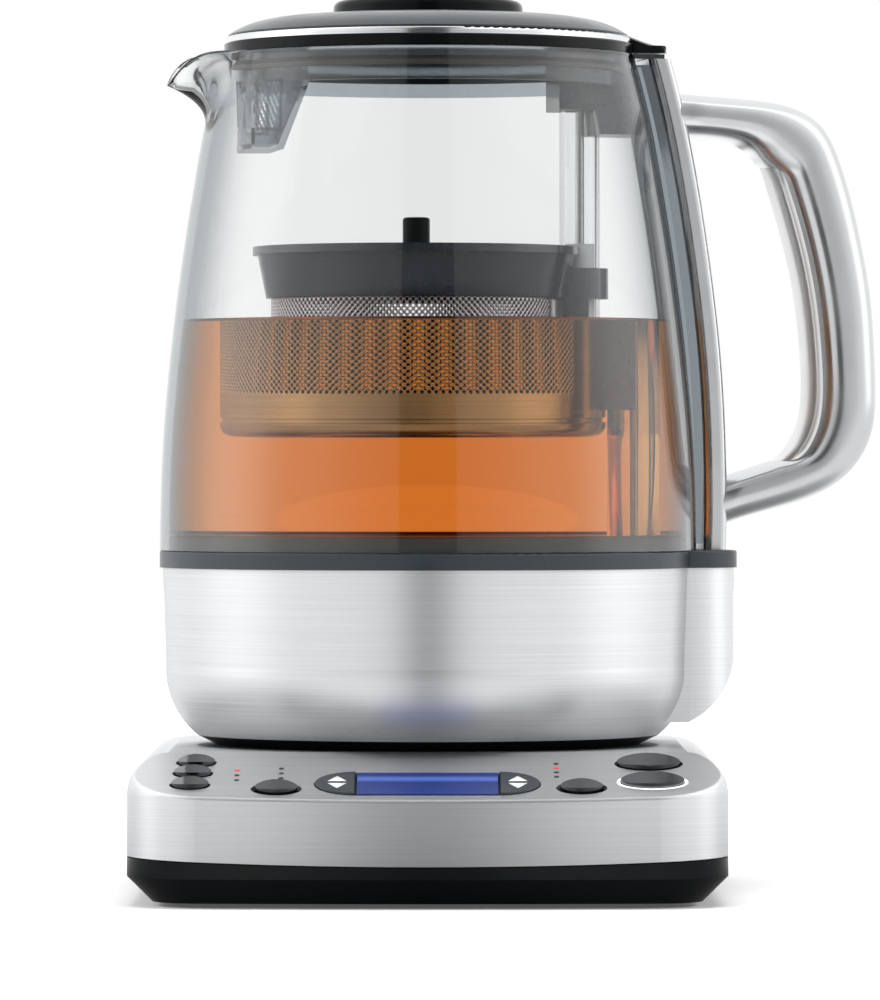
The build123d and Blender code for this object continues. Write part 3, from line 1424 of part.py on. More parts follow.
with BuildPart() as basket_magnet:
    with BuildSketch(jug_plan.offset(basket_collar_bottom + 2)):
        with Locations((post_offset, 0)):
            SlotArc(CenterArc((0, 0), clamp_magnet_radius, -60, 120), clamp_magnet_width)
    extrude(amount=clamp_magnet_height)
basket_magnet.part.label = "basket_magnet"
export_step(basket_magnet.part, "parts/basket_magnet.step")

basket_lid_bottom = basket_tube_top + 2 * nest_gap
with BuildPart() as basket_lid:
    extrude(basket_disc(basket_lid_bottom, basket_lid_radius), amount=basket_lid_height)
    extrude(basket_disc(basket_lid_bottom, pin_stem + nest_gap), amount=basket_lid_height,
            mode=Mode.SUBTRACT)
    with BuildSketch(jug_plan.offset(basket_lid_bottom)):
        with Locations((post_offset, 0)):
            Circle(clamp_hole)
    extrude(amount=basket_lid_height, mode=Mode.SUBTRACT)
basket_lid.part.label = "basket_lid"
export_step(basket_lid.part, "parts/basket_lid.step")

with BuildPart() as basket_pin:
    extrude(basket_disc(basket_lid_bottom, pin_stem), amount=pin_top - basket_lid_bottom - 1)
    extrude(basket_disc(basket_lid_bottom + basket_lid_height + nest_gap, pin_radius),
            amount=pin_top - basket_lid_bottom - basket_lid_height - nest_gap)
    fillet(basket_pin.faces().sort_by(Axis.Z)[-1].edges(), 1)
basket_pin.part.label = "basket_pin"
export_step(basket_pin.part, "parts/basket_pin.step")
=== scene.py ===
import math

import bmesh
import bpy
import numpy as np
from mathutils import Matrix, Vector
from mathutils.bvhtree import BVHTree


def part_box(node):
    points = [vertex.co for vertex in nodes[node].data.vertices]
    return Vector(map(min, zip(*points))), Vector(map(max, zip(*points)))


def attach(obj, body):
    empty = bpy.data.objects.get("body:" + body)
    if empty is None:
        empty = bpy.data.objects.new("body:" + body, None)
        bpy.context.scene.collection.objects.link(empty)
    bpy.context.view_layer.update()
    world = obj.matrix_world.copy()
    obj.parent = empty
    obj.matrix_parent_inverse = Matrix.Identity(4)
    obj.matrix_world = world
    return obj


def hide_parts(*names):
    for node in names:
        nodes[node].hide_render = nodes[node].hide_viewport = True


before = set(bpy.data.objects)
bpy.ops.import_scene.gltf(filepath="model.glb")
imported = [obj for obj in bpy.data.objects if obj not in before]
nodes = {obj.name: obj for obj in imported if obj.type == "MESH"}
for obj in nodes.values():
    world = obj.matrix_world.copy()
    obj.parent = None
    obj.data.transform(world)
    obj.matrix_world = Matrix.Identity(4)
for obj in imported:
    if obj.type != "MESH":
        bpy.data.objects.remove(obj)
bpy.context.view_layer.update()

# An automatic tea maker, dressed for its picture. Meshes are given in millimetres. The camera, the
# lamps and every distance inside a shader are in metres. The jug's axis is x = y = 0, -Y is the front.
MM = 0.001
TURN = math.radians(10)                              # the jug's handle is turned back from +X
OUT = Vector((math.cos(TURN), math.sin(TURN), 0))    # from the jug's axis towards the handle
SIDE = Vector((-math.sin(TURN), math.cos(TURN), 0))  # across the handle


# ------------------------------------------------------------------ shader helpers
class Shader:
    """A material's node tree with short ways to add nodes and link them."""

    def __init__(self, tree):
        self.tree = tree

    def node(self, kind, **values):
        made = self.tree.nodes.new("ShaderNode" + kind)
        for name, value in values.items():
            setattr(made, name, value)
        return made

    def feed(self, socket, value):
        if isinstance(value, bpy.types.NodeSocket):
            self.tree.links.new(value, socket)
        else:
            socket.default_value = value

    def math(self, operation, a, b=0.0):
        made = self.node("Math", operation=operation)
        self.feed(made.inputs[0], a)
        self.feed(made.inputs[1], b)
        return made.outputs[0]

    def times(self, first, *others):
        for other in others:
            first = self.math("MULTIPLY", first, other)
        return first

    def ramp(self, value, low, high, a=0.0, b=1.0):
        """value from low to high becomes a to b, smoothly, and is held at the ends."""
        made = self.node("MapRange", interpolation_type="SMOOTHSTEP")
        for socket, number in zip(made.inputs, (value, low, high, a, b)):
            self.feed(socket, number)
        return made.outputs[0]

    def mix(self, share, a, b):
        """A colour from a to b."""
        made = self.node("Mix", data_type="RGBA")
        self.feed(made.inputs[0], share)
        self.feed(made.inputs[6], a)
        self.feed(made.inputs[7], b)
        return made.outputs[2]

    def between(self, share, a, b):
        """A number from a to b."""
        made = self.node("Mix", data_type="FLOAT")
        self.feed(made.inputs[0], share)
        self.feed(made.inputs[2], a)
        self.feed(made.inputs[3], b)
        return made.outputs[0]

    def blend(self, share, a, b):
        """A surface from a to b."""
        made = self.node("MixShader")
        for socket, value in zip(made.inputs, (share, a, b)):
            self.feed(socket, value)
        return made.outputs[0]

    def path(self, output):
        return self.node("LightPath").outputs[output]

    def place(self):
        return self.node("TexCoord").outputs["Object"]

    def split(self, vector):
        made = self.node("SeparateXYZ")
        self.feed(made.inputs[0], vector)
        return made.outputs

    def scaled(self, vector, by):
        made = self.node("VectorMath", operation="MULTIPLY")
        self.feed(made.inputs[0], vector)
        made.inputs[1].default_value = by
        return made.outputs[0]

    def noise(self, vector, scale=1.0, detail=2.0, roughness=0.5):
        made = self.node("TexNoise")
        self.feed(made.inputs["Vector"], vector)
        made.inputs["Scale"].default_value = scale
        made.inputs["Detail"].default_value = detail
        made.inputs["Roughness"].default_value = roughness
        return made.outputs["Fac"]

    def bump(self, height, strength, distance):
        made = self.node("Bump")
        self.feed(made.inputs["Height"], height)
        made.inputs["Strength"].default_value = strength
        made.inputs["Distance"].default_value = distance
        return made.outputs["Normal"]


def by_path(shader, camera_value, through_value, gloss_value, other):
    """One of the values, by the kind of ray that asks."""
    value = other
    for flag, chosen in (("Is Glossy Ray", gloss_value), ("Is Transmission Ray", through_value),
                         ("Is Camera Ray", camera_value)):
        value = shader.between(shader.path(flag), value, chosen)
    return value


def outlet(mat):
    return mat.node_tree.nodes["Material Output"]


def grey(value, tint=(1.0, 1.0, 1.0)):
    return (value * tint[0], value * tint[1], value * tint[2], 1.0)


def shade(colour, by):
    """The colour made darker or lighter."""
    return tuple(min(1.0, by * c) for c in colour[:3]) + (1.0,)


def material(name, colour, roughness, metallic=0.0, **extra):
    """A Principled material. extra sets its other sockets by name, with _ for a space."""
    made = bpy.data.materials.new(name)
    made.use_nodes = True
    shader = Shader(made.node_tree)
    surface = made.node_tree.nodes["Principled BSDF"]
    surface.inputs["Base Color"].default_value = colour
    surface.inputs["Roughness"].default_value = roughness
    surface.inputs["Metallic"].default_value = metallic
    for key, value in extra.items():
        surface.inputs[key.replace("_", " ")].default_value = value
    return made, shader, surface


def brushed(name, colour, roughness, anisotropy=0.7, line=2200.0, depth=0.00003):
    """Steel brushed along level lines. line is how many of them cross a metre."""
    made, s, surface = material(name, colour, roughness, 1.0, Anisotropic=anisotropy,
                                Anisotropic_Rotation=0.25)
    normal = s.node("NewGeometry").outputs["Normal"]
    across = s.node("VectorMath", operation="CROSS_PRODUCT")
    across.inputs[0].default_value = (0, 0.02, 1)     # a little off upright, for level faces
    s.feed(across.inputs[1], normal)
    s.feed(surface.inputs["Tangent"], across.outputs[0])
    place, along = s.place(), 9
    upright = s.noise(s.scaled(place, (along, along, line)), detail=3, roughness=0.7)
    level = s.noise(s.scaled(place, (along, line, line)), detail=3, roughness=0.7)
    lines = s.between(s.ramp(s.math("ABSOLUTE", s.split(normal)[2]), 0.5, 0.75), upright, level)
    s.feed(surface.inputs["Base Color"],
           s.mix(s.ramp(lines, 0.3, 0.7), shade(colour, 0.93), shade(colour, 1.04)))
    s.feed(surface.inputs["Roughness"], s.ramp(lines, 0.25, 0.75, roughness - 0.03, roughness + 0.03))
    s.feed(surface.inputs["Normal"], s.bump(lines, 0.3, depth))
    return made


def polished_metal(name, colour, roughness):
    """Cast metal polished smooth, with a faint haze where the polish is duller."""
    made, s, surface = material(name, colour, roughness, 1.0)
    haze = s.noise(s.place(), 45.0, 3)
    s.feed(surface.inputs["Roughness"], s.ramp(haze, 0.3, 0.7, roughness - 0.03, roughness + 0.05))
    s.feed(surface.inputs["Base Color"], s.mix(s.noise(s.place(), 130.0, 2), shade(colour, 0.94), colour))
    s.feed(surface.inputs["Normal"], s.bump(s.noise(s.place(), 25.0, 2), 0.15, 0.0001))
    return made


def moulded(name, colour, roughness, depth=0.000004, **extra):
    """Moulded plastic or rubber: a faint grain, and smoother and duller patches."""
    made, s, surface = material(name, colour, roughness, **extra)
    place = s.place()
    patches, mottle = s.noise(place, 60.0, 2), s.noise(place, 220.0, 3)
    s.feed(surface.inputs["Roughness"], s.ramp(patches, 0.3, 0.7, roughness - 0.04, roughness + 0.05))
    s.feed(surface.inputs["Base Color"], s.mix(mottle, shade(colour, 0.9), colour))
    if depth:
        s.feed(surface.inputs["Normal"], s.bump(s.noise(place, 1400.0, 2), 0.35, depth))
    return made


def clear(name, colour, ior, roughness=0.0, shadow=(0.95, 0.96, 0.96, 1.0), gloss=0.5):
    """Glass or clear plastic that lets the lamps' light through."""
    made, s, surface = material(name, colour, roughness, Transmission_Weight=1.0, IOR=ior,
                                Specular_IOR_Level=gloss)
    through = s.node("BsdfTransparent")
    through.inputs[0].default_value = shadow
    chosen = s.blend(s.path("Is Shadow Ray"), surface.outputs[0], through.outputs[0])
    s.feed(outlet(made).inputs["Surface"], chosen)
    return made, s, surface


def tinted(mat, shader, colour, density):
    """Lets a clear material take up light on its way through."""
    take_up = shader.node("VolumeAbsorption")
    take_up.inputs["Color"].default_value = colour
    take_up.inputs["Density"].default_value = density
    shader.feed(outlet(mat).inputs["Volume"], take_up.outputs[0])
    return mat


# ------------------------------------------------------------------ mesh helpers
def mesh_object(name, points, faces, mat, smooth=40.0):
    """An object from points in millimetres. Edges sharper than smooth degrees stay sharp."""
    mesh = bpy.data.meshes.new(name)
    mesh.from_pydata([tuple(MM * c for c in p) for p in points], [], faces)
    mesh.update()
    made = bpy.data.objects.new(name, mesh)
    bpy.context.scene.collection.objects.link(made)
    mesh.polygons.foreach_set("use_smooth", [True] * len(mesh.polygons))
    mesh.set_sharp_from_angle(angle=math.radians(smooth))
    mesh.materials.append(mat)
    return made


def grid_faces(rows, columns, close_rows=False):
    """Quads between neighbouring rows of a grid of points. Each row closes on itself."""
    faces = []
    for i in range(rows if close_rows else rows - 1):
        for j in range(columns):
            below, beside = (i + 1) % rows, (j + 1) % columns
            faces.append((i * columns + j, i * columns + beside,
                          below * columns + beside, below * columns + j))
    return faces


def lathe(name, outline, mat, centre=(0.0, 0.0), steps=192, smooth=40.0):
    """An outline of (radius, height) turned about an upright axis, with flat ends."""
    points = []
    for radius, height in outline:
        for step in range(steps):
            angle = 2 * math.pi * step / steps
            points.append((centre[0] + radius * math.cos(angle),
                           centre[1] + radius * math.sin(angle), height))
    faces = grid_faces(len(outline), steps)
    faces.append(tuple(range(steps))[::-1])
    faces.append(tuple(range((len(outline) - 1) * steps, len(outline) * steps)))
    return mesh_object(name, points, faces, mat, smooth)


def turned_out(made):
    """Turns every face outwards."""
    work = bmesh.new()
    work.from_mesh(made.data)
    bmesh.ops.recalc_face_normals(work, faces=work.faces)
    work.to_mesh(made.data)
    work.free()
    return made


def thickened(made, thickness, offset=0.0):
    """Gives a sheet its thickness, half to each side or all behind its face."""
    sheet = made.modifiers.new("sheet", "SOLIDIFY")
    sheet.thickness = thickness * MM
    sheet.offset = offset
    return sheet


def cubic(xs, ys):
    """A natural cubic curve through the points, as a function."""
    xs, ys = np.array(xs, float), np.array(ys, float)
    n, gap = len(xs), np.diff(xs)
    system, right = np.eye(n), np.zeros(n)
    for i in range(1, n - 1):
        system[i, i - 1:i + 2] = gap[i - 1], 2 * (gap[i - 1] + gap[i]), gap[i]
        right[i] = 6 * ((ys[i + 1] - ys[i]) / gap[i] - (ys[i] - ys[i - 1]) / gap[i - 1])
    bend = np.linalg.solve(system, right)

    def value(x):
        i = int(np.clip(np.searchsorted(xs, x) - 1, 0, n - 2))
        a, b, h = xs[i + 1] - x, x - xs[i], gap[i]
        return float((bend[i] * a ** 3 + bend[i + 1] * b ** 3) / (6 * h)
                     + (ys[i] / h - bend[i] * h / 6) * a + (ys[i + 1] / h - bend[i + 1] * h / 6) * b)

    return value


def step_up(x, low, high):
    """0 at low, 1 at high, smooth between and held beyond."""
    x = min(1.0, max(0.0, (x - low) / (high - low)))
    return x * x * (3 - 2 * x)


def in_jug(out, side, up):
    """A point by its distance from the jug's axis towards the handle, across that, and up."""
    place = OUT * out + SIDE * side
    return (place.x, place.y, up)


def dress(mat, *names):
    """Puts a material on CAD nodes."""
    for name in names:
        for slot in nodes[name].material_slots:
            slot.material = mat


# ------------------------------------------------------------------ camera
CAMERA_PLACE, CAMERA_DIP = (0.0039, -2.385, 0.137), 0.233    # metres, and degrees below level
SENSOR, LENS = 36.0, 262.8

camera_data = bpy.data.cameras.new("camera")
camera_data.sensor_width = SENSOR
camera_data.lens = LENS
camera_data.clip_end = 50.0
camera = bpy.data.objects.new("camera", camera_data)
camera.location = CAMERA_PLACE
camera.rotation_euler = (math.radians(90 - CAMERA_DIP), 0, 0)
bpy.context.scene.collection.objects.link(camera)
bpy.context.scene.camera = camera
bpy.context.scene.view_settings.view_transform = "Standard"


# ------------------------------------------------------------------ studio
def studio_world():
    """Even white for the camera. Mirrors see a dim front, bright sides and a duller back."""
    world = bpy.data.worlds.new("studio")
    bpy.context.scene.world = world
    world.use_nodes = True
    w = Shader(world.node_tree)
    x, y, z = w.split(w.node("TexCoord").outputs["Generated"])
    turned = w.math("ABSOLUTE", w.math("ARCTAN2", x, w.math("MULTIPLY", y, -1.0)))
    azimuth = w.math("MULTIPLY", turned, math.degrees(1))      # 0 at the front, 180 behind
    glossy_depth = w.path("Glossy Depth")

    behind = w.ramp(azimuth, 94.0, 125.0, 1.0, 0.62)
    above = w.ramp(z, 0.25, 0.7, 1.0, 1.1)
    second_mirror = w.ramp(glossy_depth, 1.4, 1.6, 1.0, 0.42)
    sides = w.math("ADD", w.ramp(azimuth, 10.0, 60.0, 0.46, 0.95), w.ramp(azimuth, 60.0, 88.0, 0.0, 0.75))
    mirrored = w.times(sides, behind, above, second_mirror)

    # what a reflection inside glass or tea shows: darker still, and darkest straight ahead
    sides = w.math("ADD", w.ramp(azimuth, 14.0, 60.0, 0.2, 0.62), w.ramp(azimuth, 60.0, 88.0, 0.0, 0.7))
    ahead = w.ramp(azimuth, 11.0, 15.0, 0.06, 1.0)
    after_gloss = w.math("GREATER_THAN", glossy_depth, 0.5)
    seen_through = w.between(after_gloss, 1.0, w.times(sides, behind, ahead))

    backdrop = world.node_tree.nodes["Background"]
    backdrop.inputs["Color"].default_value = (1, 1, 1, 1)
    w.feed(backdrop.inputs["Strength"], by_path(w, 1.0, seen_through, mirrored, 0.62))


def floor_material():
    """White that keeps the object's shadow and runs into the backdrop further out."""
    made, s, surface = material("floor_white", (0.82, 0.82, 0.83, 1), 0.9)
    x, y, _ = s.split(s.place())
    sideways = s.math("ABSOLUTE", x)
    away = s.math("SQRT", s.math("ADD", s.math("POWER", x, 2.0), s.math("POWER", y, 2.0)))
    # painted shadow: what mirrors see of the floor is dimmed beside the base, where the base shades it
    painted_shadow_near_base = s.times(s.ramp(y, -0.19, -0.11), s.ramp(away, 0.12, 0.36, 0.85, 0.0))
    mirrored = s.times(s.ramp(sideways, 0.0, 0.075, 0.44, 1.28), s.ramp(sideways, 0.13, 0.24, 1.0, 0.75),
                       s.math("SUBTRACT", 1.0, painted_shadow_near_base))
    seen = s.ramp(away, 0.13, 0.5, 0.08, 1.0)
    after_gloss = s.math("GREATER_THAN", s.path("Glossy Depth"), 0.5)
    through = s.between(after_gloss, 0.9, 0.35)

    glow = s.node("Emission")
    s.feed(glow.inputs["Strength"], by_path(s, seen, through, mirrored, 0.0))
    together = s.node("AddShader")
    s.feed(together.inputs[0], surface.outputs[0])
    s.feed(together.inputs[1], glow.outputs[0])
    s.feed(outlet(made).inputs["Surface"],
           s.blend(s.path("Is Glossy Ray"), together.outputs[0], glow.outputs[0]))
    return made


def lamp(name, place, size, watts, aim=(0, 0, 0.12)):
    """A soft box that lights the object and isn't mirrored in it."""
    data = bpy.data.lights.new(name, "AREA")
    data.shape = "RECTANGLE"
    data.size, data.size_y = size
    data.energy = watts
    made = bpy.data.objects.new(name, data)
    made.location = place
    made.rotation_euler = (Vector(aim) - Vector(place)).to_track_quat("-Z", "Y").to_euler()
    made.visible_glossy = False
    made.visible_transmission = False
    bpy.context.scene.collection.objects.link(made)


FLOOR_HALF = 6000
CARD_HALF, CARD_HEIGHT, CARD_FRONT = 205, 1200, 1000    # a dark card that only mirrors show
RECTANGLE = ((-1, -1), (1, -1), (1, 1), (-1, 1))

studio_world()
floor = mesh_object("floor", [(FLOOR_HALF * a, FLOOR_HALF * b, 0) for a, b in RECTANGLE],
                    [(0, 1, 2, 3)], floor_material())

card_mat, _, _ = material("card_black", (0, 0, 0, 1), 1.0, Specular_IOR_Level=0.0,
                          Emission_Color=(1, 1, 1, 1), Emission_Strength=0.08)
card_corners = [(CARD_HALF * a, -CARD_FRONT, CARD_HEIGHT * (1 + b) / 2) for a, b in RECTANGLE]
card = mesh_object("front_card", card_corners, [(0, 1, 2, 3)], card_mat)
for kind in ("camera", "diffuse", "transmission", "shadow", "volume_scatter"):
    setattr(card, "visible_" + kind, False)

lamp("left_box", (-1.5, -0.7, 0.9), (0.9, 1.3), 26)
lamp("right_box", (1.5, -0.6, 0.8), (0.7, 1.2), 16)
lamp("top_box", (0.1, -0.2, 1.8), (1.6, 1.2), 24, (0, 0, 0.1))

# ------------------------------------------------------------------ metals and plastics
COOL = (0.985, 1.0, 1.015)      # steel is a little bluer than grey
SMOKE = (0.1, 0.18, 0.22, 1)    # what thick glass tends towards

steel = brushed("brushed_steel", grey(0.84, COOL), 0.4)
polished = brushed("trim_steel", grey(0.86, COOL), 0.16, 0.5)
fine_steel = brushed("strainer_steel", grey(0.85), 0.22, 0.3, depth=0.00001)
# painted shade: dark brown steel for the basket's inner side, standing for the shade inside it
painted_shade_steel = brushed("painted_shade_steel", (0.16, 0.13, 0.1, 1), 0.35, 0.3, depth=0.00001)
key_steel = brushed("key_steel", grey(0.17, (0.93, 1.0, 1.06)), 0.15, 0.2, 1800.0, 0.000003)
brass = brushed("contact_brass", (0.72, 0.53, 0.25, 1), 0.25, 0.2)
zinc = brushed("motor_metal", grey(0.5), 0.35, 0.2)
satin = polished_metal("satin_metal", grey(0.7, COOL), 0.2)
lining = polished_metal("handle_lining", grey(0.9), 0.33)
black = moulded("black_plastic", (0.0025, 0.003, 0.0035, 1), 0.14, Specular_IOR_Level=0.13)
charcoal = moulded("charcoal_plastic", (0.02, 0.026, 0.031, 1), 0.24)
dome = moulded("dome_plastic", (0.018, 0.024, 0.029, 1), 0.2, 0)
collar_mat = moulded("collar_plastic", (0.018, 0.025, 0.031, 1), 0.3)
basket_plastic = moulded("basket_plastic", (0.018, 0.024, 0.03, 1), 0.13, 0, Specular_IOR_Level=0.8)
rubber = moulded("foot_rubber", (0.01, 0.01, 0.011, 1), 0.75)
silicone = moulded("clear_silicone", (0.05, 0.048, 0.043, 1), 0.45)
board = moulded("circuit_board", (0.02, 0.12, 0.05, 1), 0.35)
parts_plastic = moulded("switch_plastic", (0.03, 0.03, 0.035, 1), 0.4)
carriage_mat = moulded("carriage_plastic", (0.6, 0.62, 0.63, 1), 0.3)
print_white = moulded("printed_white", (0.75, 0.77, 0.78, 1), 0.5)
lamp_white, _, _ = material("lamp_white", (0.9, 0.9, 0.9, 1), 0.4, Emission_Strength=0.35,
                            Emission_Color=(1, 1, 1, 1))

dress(steel, "base_cover", "jug_base_shell")
dress(polished, "lid_trim_ring")
dress(satin, "strap")
dress(black, "base_tray", "control_frame", "jug_bottom_cover", "jug_connector", "connector_socket",
      "connector_core", "basket_pin", "lid_rim", "lid_knob", "display_module")
dress(charcoal, "rocker_left", "rocker_right")
dress(dome, "lid_cover")
dress(collar_mat, "jug_collar")
dress(basket_plastic, "basket_collar", "basket_lid", "post_bracket")
dress(rubber, "foot_ring", "cord_gland")
dress(silicone, "glass_seal", "post_seal", "lid_seal")
dress(fine_steel, "heating_plate", "heating_element", "lead_screw", "base_fasteners",
      "handle_screws", "rocker_pins")
dress(key_steel, "timer_button", "warm_button", "basket_button", "tea_type_button",
      "strength_button", "water_button", "brew_button")
dress(board, "control_board", "power_board")
dress(parts_plastic, "tact_switches", "power_parts", "thermostat")
dress(lamp_white, "brew_ring")
dress(brass, "core_contacts", "shaft_coupling")
dress(zinc, "lift_motor", "basket_magnet")
dress(carriage_mat, "magnet_carriage")


# ------------------------------------------------------------------ clear materials
def glass_material():
    """Clear glass that lets less light through where the wall is seen edge-on."""
    made, s, surface = clear("clear_glass", (1, 1, 1, 1), 1.47, gloss=0.03)
    edge_on = s.ramp(s.node("LayerWeight").outputs["Facing"], 0.35, 0.85)
    s.feed(surface.inputs["Base Color"], s.mix(edge_on, (1, 1, 1, 1), (0.26, 0.31, 0.34, 1)))
    return tinted(made, s, SMOKE, 22.0)


def tube_material():
    """Clear plastic for the post. Its inside still mirrors a little."""
    made, s, _ = clear("clear_tube", (0.97, 0.98, 0.98, 1), 1.47, gloss=0.32)
    return tinted(made, s, SMOKE, 22.0)


def pad_material():
    """The thick clear pad between glass and strap, grey in its depth."""
    made, s, _ = clear("clear_pad", (0.8, 0.84, 0.87, 1), 1.42, 0.03)
    return tinted(made, s, (0.15, 0.22, 0.26, 1), 62.0)


def skirt_material():
    """Smoky clear plastic below the height where the lid's dark disc starts."""
    made, s, surface = clear("skirt_plastic", (0.42, 0.465, 0.495, 1), 1.42, 0.06)
    s.feed(surface.inputs["Roughness"], s.ramp(s.noise(s.place(), 60.0), 0.3, 0.7, 0.05, 0.09))
    disc = s.node("BsdfPrincipled")
    disc.inputs["Base Color"].default_value = (0.012, 0.016, 0.02, 1)
    disc.inputs["Roughness"].default_value = 0.07
    mouth = outlet(made).inputs["Surface"]
    in_disc = s.ramp(s.split(s.place())[2], 0.2712, 0.2717)
    s.feed(mouth, s.blend(in_disc, mouth.links[0].from_socket, disc.outputs[0]))
    return made


def tea_material():
    """Clear amber that darkens with depth and lets warm light through."""
    made, s, _ = clear("tea", (1, 1, 1, 1), 1.333, shadow=(0.95, 0.8, 0.5, 1), gloss=0.05)
    return tinted(made, s, (0.96, 0.668, 0.214, 1), 28.0)


glass_mat, skirt_mat, tea_mat = glass_material(), skirt_material(), tea_material()
dress(tube_material(), "lift_post")
dress(pad_material(), "strap_pad")
dress(skirt_mat, "lid_skirt")

# ------------------------------------------------------------------ jug glass with its spout
GLASS_WALL, GLASS_TOP = 2.8, 271.5
GLASS_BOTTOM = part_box("jug_glass")[0][2] / MM
SPOUT_LOW = 246.0                           # the wall swells into the spout above this height
SPOUT_HALF, SPOUT_REACH = 22.0, 16.0        # degrees to each side, and millimetres out
DIP, DIP_WIDTH = 9.7, 5.8                   # how far the edge dips, and over how many degrees
SWELL_POWER, INSIDE_LAG = 2.6, 2.0          # how late the wall swells, and the inside after it
EDGE_CROWN = 0.8                            # height of the edge's rounding over half the wall
EVEN_TOP = SPOUT_LOW - 2                    # up to here the rings of points are level
LOW_RINGS, HIGH_RINGS, EDGE_STEPS = 46, 22, 5
glass_radius_at = cubic([111.0, 140.0, 170.0, 202.0, 235.0, 251.5, 271.5],
                        [87.6, 86.9, 84.6, 80.8, 75.6, 72.5, 67.5])


def spout_top(away):
    """Height of the glass's edge, away degrees from the spout's middle."""
    return GLASS_TOP - DIP * math.exp(-(away / DIP_WIDTH) ** 2)


def spout_bulge(away, height):
    """How far the wall swells into the spout, away degrees from its middle."""
    if abs(away) >= SPOUT_HALF or height <= SPOUT_LOW:
        return 0.0
    top = SPOUT_REACH * math.cos(math.radians(90 * away / SPOUT_HALF)) ** 2
    return top * min(1.0, (height - SPOUT_LOW) / (spout_top(away) - SPOUT_LOW)) ** SWELL_POWER


def around_spout():
    """Degrees round from the spout's middle, closer together near it."""
    away, found = -180.0, []
    while away < 180.0 - 1e-6:
        found.append(away)
        away += 0.5 if abs(away + 0.25) < SPOUT_HALF + 2 else 2.0
    return found


def glass_mesh():
    """The wall as a loop of rings: up the outside, over the round edge and down the inside."""
    aways = around_spout()

    def level_ring(share, thick):
        z = GLASS_BOTTOM + (EVEN_TOP - GLASS_BOTTOM) * share
        return [(away, glass_radius_at(z) - thick, z) for away in aways]

    def spout_ring(share, thick, lag):
        """A ring that follows the edge more and more. lag lowers the inside's swelling."""
        ring = []
        for away in aways:
            z = EVEN_TOP + (spout_top(away) - EVEN_TOP) * share
            ring.append((away, glass_radius_at(z) - thick + spout_bulge(away, z - lag), z))
        return ring

    def edge_ring(angle):
        ring, half = [], GLASS_WALL / 2
        for away in aways:
            top = spout_top(away)
            middle = glass_radius_at(top) + spout_bulge(away, top) - half
            z = top + EDGE_CROWN * half * math.sin(angle)
            ring.append((away, middle + half * math.cos(angle), z))
        return ring

    low, high = np.linspace(0, 1, LOW_RINGS, endpoint=False), np.linspace(0, 1, HIGH_RINGS)
    rings = [level_ring(share, 0.0) for share in low]
    rings += [spout_ring(share, 0.0, 0.0) for share in high]
    rings += [edge_ring(math.pi * step / EDGE_STEPS) for step in range(1, EDGE_STEPS)]
    rings += [spout_ring(share, GLASS_WALL, INSIDE_LAG * (share < 1)) for share in high[::-1]]
    rings += [level_ring(share, GLASS_WALL) for share in low[::-1]]
    points = []
    for away, radius, z in sum(rings, []):
        angle = TURN + math.pi + math.radians(away)
        points.append((radius * math.cos(angle), radius * math.sin(angle), z))
    return points, grid_faces(len(rings), len(aways), True)


jug_glass = mesh_object("jug_glass_body", *glass_mesh(), glass_mat, 60.0)
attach(jug_glass, "jug")
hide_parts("jug_glass")

# ------------------------------------------------------------------ tea
TEA_TOP, TEA_GAP = 184.6, 0.06              # the tea's level, and its gap to the glass
TEA_FLOOR, SEAL_TOP, SEAL_RIM = 112.0, 116.2, 76.9
CLIMB = [(0, 1.0), (0.5, 0.5), (1.4, 0.15), (3.0, 0)]    # in from the glass, up from the level
POST_OUT, POST_HOLE = 50.6, 6.76            # the post's place and the hole that the tea leaves for it
HOLE_SPAN = (100.0, 200.0)


def tea_against_glass(z):
    return glass_radius_at(z) - GLASS_WALL - TEA_GAP


def tea_outline():
    """Up over the seal, up the glass, and a small climb at its edge."""
    outline = [(SEAL_RIM, TEA_FLOOR), (SEAL_RIM, SEAL_TOP), (tea_against_glass(SEAL_TOP), SEAL_TOP)]
    outline += [(tea_against_glass(z), z) for z in np.linspace(SEAL_TOP + 1.8, TEA_TOP - 0.2, 36)]
    edge = tea_against_glass(TEA_TOP + CLIMB[0][1])
    return outline + [(edge - inwards, TEA_TOP + climb) for inwards, climb in CLIMB]


def tea_piece():
    """The tea's body with a hole for the post."""
    made = lathe("tea", tea_outline(), tea_mat, steps=240, smooth=50.0)
    post = in_jug(POST_OUT, 0, 0)[:2]
    cutter = lathe("cutter", [(POST_HOLE, z) for z in HOLE_SPAN], tea_mat, post, 64)
    hole = made.modifiers.new("post_hole", "BOOLEAN")
    hole.object = cutter
    hole.operation = "DIFFERENCE"
    hole.solver = "EXACT"
    bpy.context.view_layer.update()
    cut = bpy.data.meshes.new_from_object(made.evaluated_get(bpy.context.evaluated_depsgraph_get()))
    made.modifiers.clear()
    made.data = cut
    bpy.data.objects.remove(cutter)
    return made


tea = tea_piece()
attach(tea, "jug")

# ------------------------------------------------------------------ perforated basket
BASKET_RADIUS, BASKET_SHEET, BASKET_OUT = 47.4, 0.5, -3.9
HOLES_ROUND, HOLE_RADIUS, HOLE_ROW = 148, 0.56, 1.06
HOLE_BOTTOM, HOLE_TOP = 159.0, 194.0
BLIND_HALF = math.radians(36)               # no holes beside the post
BASKET_FLOOR, FLOOR_MIDDLE = 146.6, 12.0
BAND_PROFILE = [(0, 157.0), (0, 152.7), (0.7, 152.3), (0.7, 151.4), (0, 151.0), (0, 149.6),
                (0.5, 148.1), (1.5, 147.1), (3.0, 146.65), (17.4, BASKET_FLOOR),
                (BASKET_RADIUS - FLOOR_MIDDLE, BASKET_FLOOR)]     # distance inside the wall, height


